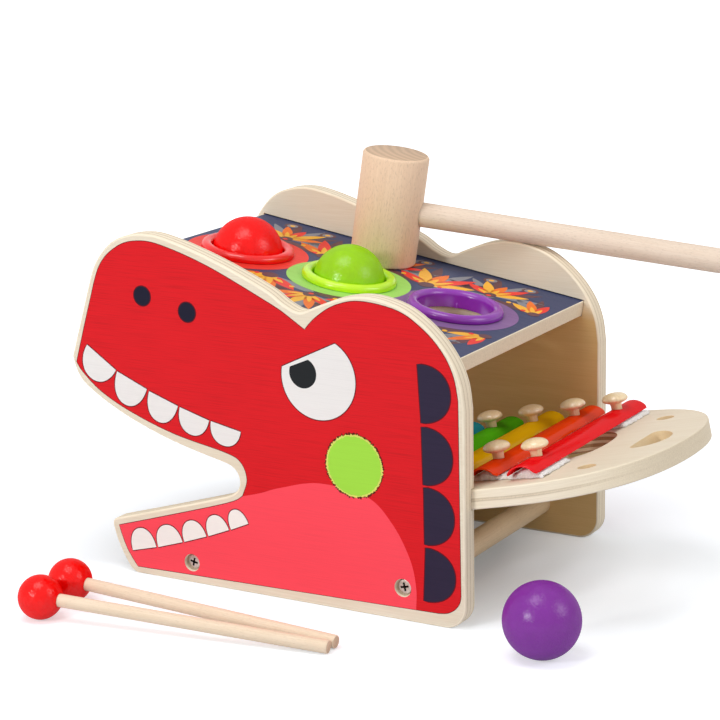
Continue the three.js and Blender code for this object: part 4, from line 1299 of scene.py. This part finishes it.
class BENCH_OT_felt(Operator):
    """Build the two felt strips"""
    bl_idname = "bench.felt"
    bl_label = "Felt strips"

    def execute(self, context):
        sizes, tray, colours = settings(context, "sizes", "tray", "paint")
        look = wool("felt_wool", colours.felt)
        places = bar_places(tray)
        ends = (places[-1] - tray.felt_overhang, places[0] + tray.felt_overhang)
        for side, name in SIDES:
            pegs = [(x, side * peg_offset(tray, x)) for x in places]
            holes = rods(tray.peg_stem + sizes.seat_gap, -OVERCUT, 2 * OVERCUT, 20, pegs)
            strip = carved(self.strip(sizes, tray, side, *ends), holes)
            bm = gathered([strip, *self.fibres(sizes, tray, side, *ends)])
            finish_piece(
                f"{name}_felt", bm, tray_frame(tray), "tray", [look], [f"{name}_felt_strip"],
                sharp=60)
        return {"FINISHED"}

    def strip(self, sizes, tray, side, front, rear):
        """A strip that swells into the bars' arches, and thins to a ragged rim."""
        lumps_per_metre, cuts_along, cuts_across = 900, 150, 24
        bm = bmesh.new()
        bmesh.ops.create_cube(bm, size=1)
        for axis, cuts in ((0, cuts_along), (1, cuts_across)):
            edges = [e for e in bm.edges if abs(e.verts[0].co[axis] - e.verts[1].co[axis]) > 0.5]
            bmesh.ops.subdivide_edges(bm, edges=edges, cuts=cuts, use_grid_fill=True)
        for vert in bm.verts:
            along, across, up = vert.co
            x = front + (along + 0.5) * (rear - front)
            y = side * (peg_offset(tray, x) + across * 2 * tray.felt_half)
            z = sizes.seat_gap + (up + 0.5) * tray.felt_thickness
            spot = Vector((x, y, z)) * lumps_per_metre
            if up > 0:
                inset = min((0.5 - abs(across)) * 2 * tray.felt_half, (0.5 - abs(along)) * (rear - front))
                z += tray.felt_swell * self.swell(tray, x)
                z -= (0.25 + 0.45 * noise.noise(spot)) * MM
                z -= tray.felt_thinning * max(1 - inset / tray.felt_taper, 0) ** 2
            if max(abs(along), abs(across)) > 0.49:
                y += self.stray(spot, 0.9, 0.28)
                x += self.stray(spot, 1.1, 0.33)
            vert.co = (x, y, z)
        bmesh.ops.recalc_face_normals(bm, faces=bm.faces)
        return bm

    def swell(self, tray, x):
        """Share of the felt's swell at this place: 1 under the middle of a bar, 0 beside it."""
        step = (tray.first_bar - x) / tray.bar_pitch
        beside = (step - min(max(round(step), 0), tray.bar_count - 1)) * tray.bar_pitch
        return max(1 - (beside / (0.36 * tray.bar_width)) ** 2, 0)

    def stray(self, spot, fine, coarse):
        """How far the ragged rim strays."""
        return (0.8 * noise.noise(spot * fine) + 1.6 * noise.noise(spot * coarse)) * MM

    def fibres(self, sizes, tray, side, front, rear):
        """Loose hairs over the felt's upper face and, every third one, along its long edges."""
        bundles, in_bundle, golden = [], 120, 0.618034
        rooted, edge_drop, shortest, longer = 0.5 * MM, 1.4 * MM, 1.2 * MM, 1.4 * MM
        root_radius, tip_radius = 0.07 * MM, 0.02 * MM
        for number in range(tray.felt_fibres):
            if number % in_bundle == 0:
                bundles.append(bmesh.new())
            a, b, c, d = (0.5 + 0.5 * math.sin(12.9898 * number + 78.233 * k) for k in (1, 2, 3, 4))
            at_edge = number % 3 == 0
            x = front + (rear - front) * ((number * golden) % 1)
            across = math.copysign(0.98, a - 0.5) if at_edge else 2 * a - 1
            y = side * (peg_offset(tray, x) + across * tray.felt_half * 0.99)
            z = sizes.seat_gap + tray.felt_thickness - rooted - (edge_drop * b if at_edge else 0)
            size = shortest + longer * d
            lean = spun(b * 2 * math.pi, "Z") @ spun(math.radians(35 + 45 * c), "X")
            bmesh.ops.create_cone(
                bundles[-1], cap_ends=False, segments=3, radius1=root_radius, radius2=tip_radius,
                depth=size, matrix=shift(x, y, z) @ lean @ shift(z=size / 2))
        return bundles


class BENCH_OT_tone_bars(Operator):
    """Build the arched metal bars"""
    bl_idname = "bench.tone_bars"
    bl_label = "Tone bars"

    def execute(self, context):
        sizes, tray, colours = settings(context, "sizes", "tray", "paint")
        base = 2 * sizes.seat_gap + tray.felt_thickness
        slots = ("red", "orange", "yellow", "green", "cyan", "blue", "violet", "pink")
        shortest = tray.bar_length * math.sqrt(0.5)
        for index, (x, slot) in enumerate(zip(bar_places(tray), slots)):
            number = index + 1
            size = tray.bar_length + (shortest - tray.bar_length) * index / max(tray.bar_count - 1, 1)
            pegs = [(0, side * peg_offset(tray, x)) for side, _ in SIDES]
            holes = rods(tray.peg_stem + sizes.seat_gap, -OVERCUT, 2 * OVERCUT, 24, pegs)
            bm = carved(self.strip(tray, size), holes)
            look = enamel(f"bar_{slot}_enamel", getattr(colours, f"bar_{number}"), (0, -tray.slope, 0))
            place = tray_frame(tray) @ shift(x, 0, base)
            finish_piece(
                f"arched_bar_{number}", bm, place, "tray", [look], [f"tone_bar_{number}"],
                sharp=50)
        return {"FINISHED"}

    def strip(self, tray, size):
        """A strip with rounded corners, arched across its width."""
        half, rise, corner = tray.bar_width / 2, tray.bar_rise, tray.bar_corner
        radius = (half * half + rise * rise) / (2 * rise)
        bm = bmesh.new()
        bmesh.ops.create_grid(bm, x_segments=18, y_segments=48, size=1)
        for vert in bm.verts:
            across = vert.co.x * half
            past = max(abs(across) - (half - corner), 0)
            end = size / 2 - corner + math.sqrt(max(corner * corner - past * past, 0))
            vert.co = (across, vert.co.y * end, rise - radius + math.sqrt(radius * radius - across * across))
        bmesh.ops.recalc_face_normals(bm, faces=bm.faces)
        if sum(face.normal.z for face in bm.faces) < 0:
            bmesh.ops.reverse_faces(bm, faces=bm.faces)
        bmesh.ops.solidify(bm, geom=bm.faces[:], thickness=tray.bar_sheet)
        top = max(vert.co.z for vert in bm.verts)
        bmesh.ops.translate(bm, verts=bm.verts, vec=(0, 0, rise - top))
        for vert in bm.verts:
            vert.co.z = max(vert.co.z, 0)
        bmesh.ops.recalc_face_normals(bm, faces=bm.faces)
        round_edges(bm, tray.bar_round, 2, 60)
        return bm


class BENCH_OT_pegs(Operator):
    """Build the mushroom pegs"""
    bl_idname = "bench.pegs"
    bl_label = "Pegs"

    def execute(self, context):
        sizes, tray, colours = settings(context, "sizes", "tray", "paint")
        profile = self.profile(sizes, tray)
        look = wood(
            "peg_wood", colours.peg, colours.peg_grain, (0, math.pi / 2 - tray.slope, 0), long=9, across=1.1,
            roughness=0.36, coat=0.4)
        for index, x in enumerate(bar_places(tray)):
            for side, name in SIDES:
                # Each peg stands at another angle.
                own_turn = spun(index * 1.3 + side, "Z")
                place = tray_frame(tray) @ shift(x, side * peg_offset(tray, x)) @ own_turn
                finish_piece(
                    f"{name}_mushroom_{index + 1}", turned(profile, 40), place, "tray", [look],
                    [f"{name}_peg_{index + 1}"])
        return {"FINISHED"}

    def profile(self, sizes, tray):
        """A stem with a head of two half ellipses, the lower one flatter."""
        stem, head, cut, throat = tray.peg_stem, tray.peg_head, 0.4 * MM, 1.2 * MM
        foot = sizes.seat_gap - tray.peg_socket
        base = 2 * sizes.seat_gap + tray.felt_thickness + tray.bar_rise + tray.peg_neck
        under = tray.peg_head_height * 0.42
        over = tray.peg_head_height - under
        line = [(0, foot), (stem - cut, foot), (stem, foot + cut), (stem, base - throat)]
        for rise, angles in ((under, range(-62, 0, 6)), (over, range(0, 90, 6))):
            for angle in angles:
                a = math.radians(angle)
                line.append((head * math.cos(a), base + under + rise * math.sin(a)))
        return line + [(0, base + under + over)]


class BENCH_OT_cross_rods(Operator):
    """Build the two cross rods"""
    bl_idname = "bench.cross_rods"
    bl_label = "Cross rods"

    def execute(self, context):
        sizes, colours = settings(context, "sizes", "paint")
        half = BENCH_WIDTH / 2 - PANEL_THICKNESS
        bore, radius = sizes.screw_shank + sizes.seat_gap, sizes.dowel_radius
        cut, past_tip = 0.5 * MM, 2 * MM
        deep = half - sizes.screw_length + PANEL_THICKNESS - past_tip
        end = [(radius, half - cut), (radius - cut, half), (bore, half), (bore, deep), (0, deep)]
        profile = [(r, -z) for r, z in reversed(end)] + end
        # The rods' colours hold painted shade as well as the wood's tone.
        look = wood("rod_beech", colours.rod, colours.rod_grain, (0, 0, math.pi / 2), fleck=0.3)
        for (x, z), name in zip(screw_places(sizes), ENDS):
            place = BENCH_FRAME @ shift(x, 0, z) @ spun(-math.pi / 2, "X")
            bm = turned(profile)
            finish_piece(f"{name}_rod", bm, place, "bench", [look], [f"{name}_cross_dowel"])
        return {"FINISHED"}


class BENCH_OT_screws(Operator):
    """Build the cross-head screws"""
    bl_idname = "bench.screws"
    bl_label = "Screws"

    def execute(self, context):
        sizes, colours = settings(context, "sizes", "paint")
        # The second finish paints shade into the cross slots.
        tones = {"nickel_steel": colours.steel, "cross_steel": colours.screw_cross}
        looks = [plated_steel(name, tone) for name, tone in tones.items()]
        for side, name in SIDES:
            for (x, z), end in zip(screw_places(sizes), ENDS):
                # The two screws of a panel are left at different angles.
                bm = self.screw(sizes, 0.35 + x * 3)
                finish_piece(
                    f"{name}_{end}_cross_screw", bm, BENCH_FRAME @ screw_frame(x, z, side), "bench", looks,
                    [f"screw_{name}_{end}"], sharp=35)
        return {"FINISHED"}

    def screw(self, sizes, angle):
        """A screw with a low dome and a cross slot at this angle."""
        head, shank, top, edge = sizes.screw_head, sizes.screw_shank, -sizes.screw_recess, 0.35 * MM
        reach, slot, deep = sizes.cross_reach, sizes.cross_slot, sizes.cross_depth
        tip = top - sizes.screw_length
        profile = [(0, tip), (shank, tip + 2 * shank), (shank, top - head * sizes.screw_cone)]
        profile += [(head, top - 0.5 * MM)] + arc((head - edge, top - 0.3 * MM), edge, 0, 80, 4)
        profile += [(head * 0.5, top + 0.12 * MM), (0, top + 0.14 * MM)]
        bm = turned(profile, 40)
        for quarter in range(2):
            arm = block((-reach, -slot, top - deep), (reach, slot, top + OVERCUT))
            bm = carved(bm, [moved(arm, spun(angle + quarter * math.pi / 2, "Z"))])

        def finish_of(face):
            """Number of a face's finish: plain steel, or painted shade on the walls and floor of the cross.
            """
            spot, room = face.calc_center_median(), 0.02 * MM
            inside = math.hypot(spot.x, spot.y) < reach + room
            return 1 if inside and top - deep - 0.3 * MM < spot.z < top - room else 0

        return faced(bm, finish_of)


class BENCH_OT_hammer(Operator):
    """Build the hammer"""
    bl_idname = "bench.hammer"
    bl_label = "Hammer"

    def execute(self, context):
        sizes, tools, colours = settings(context, "sizes", "tools", "paint")
        place = hammer_frame(sizes, tools)
        spin = place.to_euler()
        upright = (place @ spun(-math.pi / 2, "Y")).to_euler()
        along_handle = shift(z=self.handle_height(place)) @ spun(math.pi / 2, "Y")
        socket = tools.hammer_radius - tools.handle_socket
        bm = self.head(sizes, tools, along_handle, socket)
        heart = place @ Vector((30 * MM, 20 * MM, 0))
        looks = [
            wood(
                "hammer_beech", colours.beech, colours.beech_grain, upright, long=22, across=0.6,
                roughness=0.58, fleck=0.5),
            sawn_end("hammer_end_grain", colours.end_grain, 0.8, heart, spin),
        ]
        finish_piece("hammer_block", bm, place, "hammer", looks, ["hammer_head"])
        ends = (socket + sizes.seat_gap, tools.hammer_radius + tools.handle_reach)
        profile = stick_profile(tools.handle_radius, *ends, tools.handle_round, 15, 6)
        handle = moved(turned(profile), along_handle)
        look = wood(
            "handle_wood", colours.handle, colours.handle_grain, spin, long=24, across=0.6, roughness=0.6,
            fleck=0.4)
        finish_piece("hammer_grip", handle, place, "hammer", [look], ["hammer_handle"])
        return {"FINISHED"}

    def head(self, sizes, tools, along_handle, socket):
        """A turned block with softened edges and a socket for the handle."""
        radius, top, cut = tools.hammer_radius, tools.hammer_length, tools.hammer_chamfer
        edge = [(cut, 0), (cut * 0.45, cut * 0.3), (0, cut)]
        profile = [(0, 0)] + [(radius - inset, z) for inset, z in edge]
        profile += [(radius - inset, top - z) for inset, z in reversed(edge)] + [(0, top)]
        hole = rod(tools.handle_radius + sizes.seat_gap, socket, tools.hammer_radius + 2 * OVERCUT, 48)
        bm = carved(turned(profile, 72), [moved(hole, along_handle)])
        return faced(bm, lambda face: 1 if abs(face.normal.z) > 0.9 else 0)

    def handle_height(self, place):
        """Height of the handle over the head's lower face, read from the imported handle."""
        back = place.inverted()
        heights = [(back @ vert.co).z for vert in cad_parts["hammer_handle"].data.vertices]
        return (min(heights) + max(heights)) / 2


def stick_profile(radius, start, end, rounded, first, steps):
    """A stick along Z whose far end is rounded, from the first angle on."""
    line = [(0, start), (radius, start), (radius, end - rounded)]
    return line + arc((radius - rounded, end - rounded), rounded, first, 90, steps) + [(0, end)]


class BENCH_OT_mallets(Operator):
    """Build the two mallets"""
    bl_idname = "bench.mallets"
    bl_label = "Mallets"

    def execute(self, context):
        sizes, tools, colours = settings(context, "sizes", "tools", "paint")
        head, stick, gap = tools.mallet_head, tools.mallet_stick, sizes.seat_gap
        paint_look = lacquer("mallet_lacquer", colours.red)
        tilt = math.asin((head - stick - gap) / tools.mallet_reach)
        bore, deep = stick + gap, head - tools.mallet_socket
        mouth = math.degrees(math.asin(bore / head))
        knob = [(0, -head)] + arc((0, 0), head, -87, 90 - mouth, 40) + [(bore, deep), (0, deep)]
        rod_line = stick_profile(stick, deep + gap, tools.mallet_reach, tools.stick_round, 20, 4)
        for letter, angle in (("a", tools.mallet_a_turn), ("b", tools.mallet_b_turn)):
            body = f"mallet_{letter}"
            spin = spun(angle, "Z") @ spun(tilt, "Y")
            along = shift(*box_middle(f"mallet_head_{letter}")) @ spin @ spun(math.pi / 2, "Y")
            finish_piece(
                f"mallet_knob_{letter}", turned(knob, 64), along, body, [paint_look],
                [f"mallet_head_{letter}"])
            heart = along @ Vector((3 * MM, 2 * MM, 0))
            looks = [
                wood(
                    f"mallet_wood_{letter}", colours.stick, colours.stick_grain, spin.to_euler(), long=24,
                    across=0.6, fleck=0.25),
                sawn_end(f"mallet_end_{letter}", colours.end_grain, 0.85, heart, along.to_euler()),
            ]
            bm = faced(turned(rod_line, 32), lambda face: 1 if face.normal.z > 0.9 else 0)
            finish_piece(
                f"mallet_rod_{letter}", bm, along, body, looks, [f"mallet_stick_{letter}"])
        return {"FINISHED"}


def seen_rays(look):
    """1 for the rays that show the background: straight to the camera, in a gloss or through glass."""
    rays = add_node(look, "ShaderNodeLightPath").outputs
    gloss = worked(look, "MAXIMUM", rays["Is Glossy Ray"], rays["Is Transmission Ray"])
    return worked(look, "MAXIMUM", rays["Is Camera Ray"], gloss)


class BENCH_OT_stage(Operator):
    """Set the floor, the lamps and the camera"""
    bl_idname = "bench.stage"
    bl_label = "Stage"

    def execute(self, context):
        scene, stage = context.scene, context.scene.bench_stage
        scene.view_settings.view_transform = "Standard"
        self.floor(stage)
        self.surroundings(scene, stage)
        for name, (away, size) in LAMPS.items():
            lamp = bpy.data.lights.new(f"{name}_lamp", "AREA")
            lamp.energy = getattr(stage, f"{name}_power")
            lamp.shape = "DISK"
            lamp.size = size
            holder = in_scene(f"{name}_lamp", lamp)
            holder.location = BENCH_FRAME @ LAMP_AIM + Vector(away)
            holder.rotation_euler = Vector(away).to_track_quat("Z", "Y").to_euler()
        camera = in_scene("camera", bpy.data.cameras.new("camera"))
        camera.data.lens = stage.lens
        camera.data.sensor_width = 36
        camera.data.sensor_fit = "HORIZONTAL"
        camera.data.clip_end = 50
        place = shift(NEAR_HIGH.x + stage.camera_x, NEAR_LOW.y + stage.camera_y, stage.camera_z)
        sight = spun(stage.azimuth, "Z") @ spun(math.pi / 2 - stage.elevation, "X")
        camera.matrix_world = place @ sight @ spun(stage.roll, "Z")
        scene.camera = camera
        return {"FINISHED"}

    def floor(self, stage):
        """A matt floor that glows a little for the camera and in gloss, and more far off: glowing less under
        the bench paints shade there, and glowing more before the face paints light over the face's bounce.
        """
        bm = bmesh.new()
        bmesh.ops.create_grid(bm, x_segments=1, y_segments=1, size=12)
        floor = in_scene("floor", mesh_of("floor", bm))
        look = bpy.data.materials.new("pale_floor")
        look.use_nodes = True
        look.node_tree.nodes.clear()
        middle = cells(look, (1, 1, 1), LEVEL, BENCH_FRAME @ Vector((-HEAD_LENGTH / 2, 0, 0)))
        away = add_node(look, "ShaderNodeVectorMath", {0: middle}, operation="LENGTH").outputs["Value"]
        # Painted shade: less glow under the bench; painted light: more glow before the face.
        beside = spread(
            look, away, stage.shade_radius, stage.beside_radius, stage.painted_shade_glow, stage.floor_glow)
        before = spread(
            look, part_of(look, middle, "Y"), stage.face_shade, stage.face_light, stage.painted_shade_glow,
            stage.face_painted_light_glow)
        beyond = spread(
            look, away, stage.rise_radius, stage.far_radius, 0, stage.far_glow - stage.floor_glow)
        total = worked(look, "ADD", worked(look, "MAXIMUM", beside, before), beyond)
        strength = worked(look, "MULTIPLY", seen_rays(look), total)
        matt = add_node(look, "ShaderNodeBsdfDiffuse", {"Color": stage.floor})
        glow = add_node(look, "ShaderNodeEmission", {"Strength": strength})
        both = add_node(look, "ShaderNodeAddShader", {0: matt.outputs[0], 1: glow.outputs[0]})
        add_node(look, "ShaderNodeOutputMaterial", {"Surface": both.outputs[0]})
        floor.data.materials.append(look)

    def surroundings(self, scene, stage):
        """Even light from all round, seen as white."""
        world = bpy.data.worlds.new("soft_room")
        scene.world = world
        world.use_nodes = True
        sky = world.node_tree.nodes["Background"]
        sky.inputs["Color"].default_value = (1, 1, 1, 1)
        set_socket(world, sky.inputs["Strength"], spread(world, seen_rays(world), 0, 1, stage.ambient, 1))


class BENCH_PT_sidebar(Panel):
    """Lists the steps that build the bench, and its settings"""
    bl_idname = "BENCH_PT_sidebar"
    bl_label = "Pounding Bench"
    bl_space_type = "VIEW_3D"
    bl_region_type = "UI"
    bl_category = "Pounding Bench"

    def draw(self, context):
        for step in STEPS:
            self.layout.operator(step.bl_idname)
        for group in settings(context, "sizes", "tray", "tools", "paint", "stage"):
            column = self.layout.column(align=True)
            for name in group.bl_rna.properties.keys():
                if name not in ("rna_type", "name"):
                    column.prop(group, name)


STEPS = (
    BENCH_OT_stage, BENCH_OT_side_panels, BENCH_OT_face_print, BENCH_OT_top_board, BENCH_OT_rings,
    BENCH_OT_balls, BENCH_OT_tray, BENCH_OT_felt, BENCH_OT_tone_bars, BENCH_OT_pegs, BENCH_OT_cross_rods,
    BENCH_OT_screws, BENCH_OT_hammer, BENCH_OT_mallets,
)
GROUPS = {
    "bench_sizes": BenchSizes, "bench_tray": TraySizes, "bench_tools": ToolSizes, "bench_paint": PaintColours,
    "bench_stage": StageSettings,
}


def register():
    for group in GROUPS.values():
        bpy.utils.register_class(group)
    for name, group in GROUPS.items():
        setattr(bpy.types.Scene, name, PointerProperty(type=group))
    for step in STEPS:
        bpy.utils.register_class(step)
    bpy.utils.register_class(BENCH_PT_sidebar)


def unregister():
    bpy.utils.unregister_class(BENCH_PT_sidebar)
    for step in reversed(STEPS):
        bpy.utils.unregister_class(step)
    for name in GROUPS:
        delattr(bpy.types.Scene, name)
    for group in reversed(GROUPS.values()):
        bpy.utils.unregister_class(group)


def main():
    register()
    bpy.ops.bench.stage()
    bpy.ops.bench.side_panels()
    bpy.ops.bench.face_print()
    bpy.ops.bench.top_board()
    bpy.ops.bench.rings()
    bpy.ops.bench.balls()
    bpy.ops.bench.tray()
    bpy.ops.bench.felt()
    bpy.ops.bench.tone_bars()
    bpy.ops.bench.pegs()
    bpy.ops.bench.cross_rods()
    bpy.ops.bench.screws()
    bpy.ops.bench.hammer()
    bpy.ops.bench.mallets()


if __name__ == "__main__":
    main()
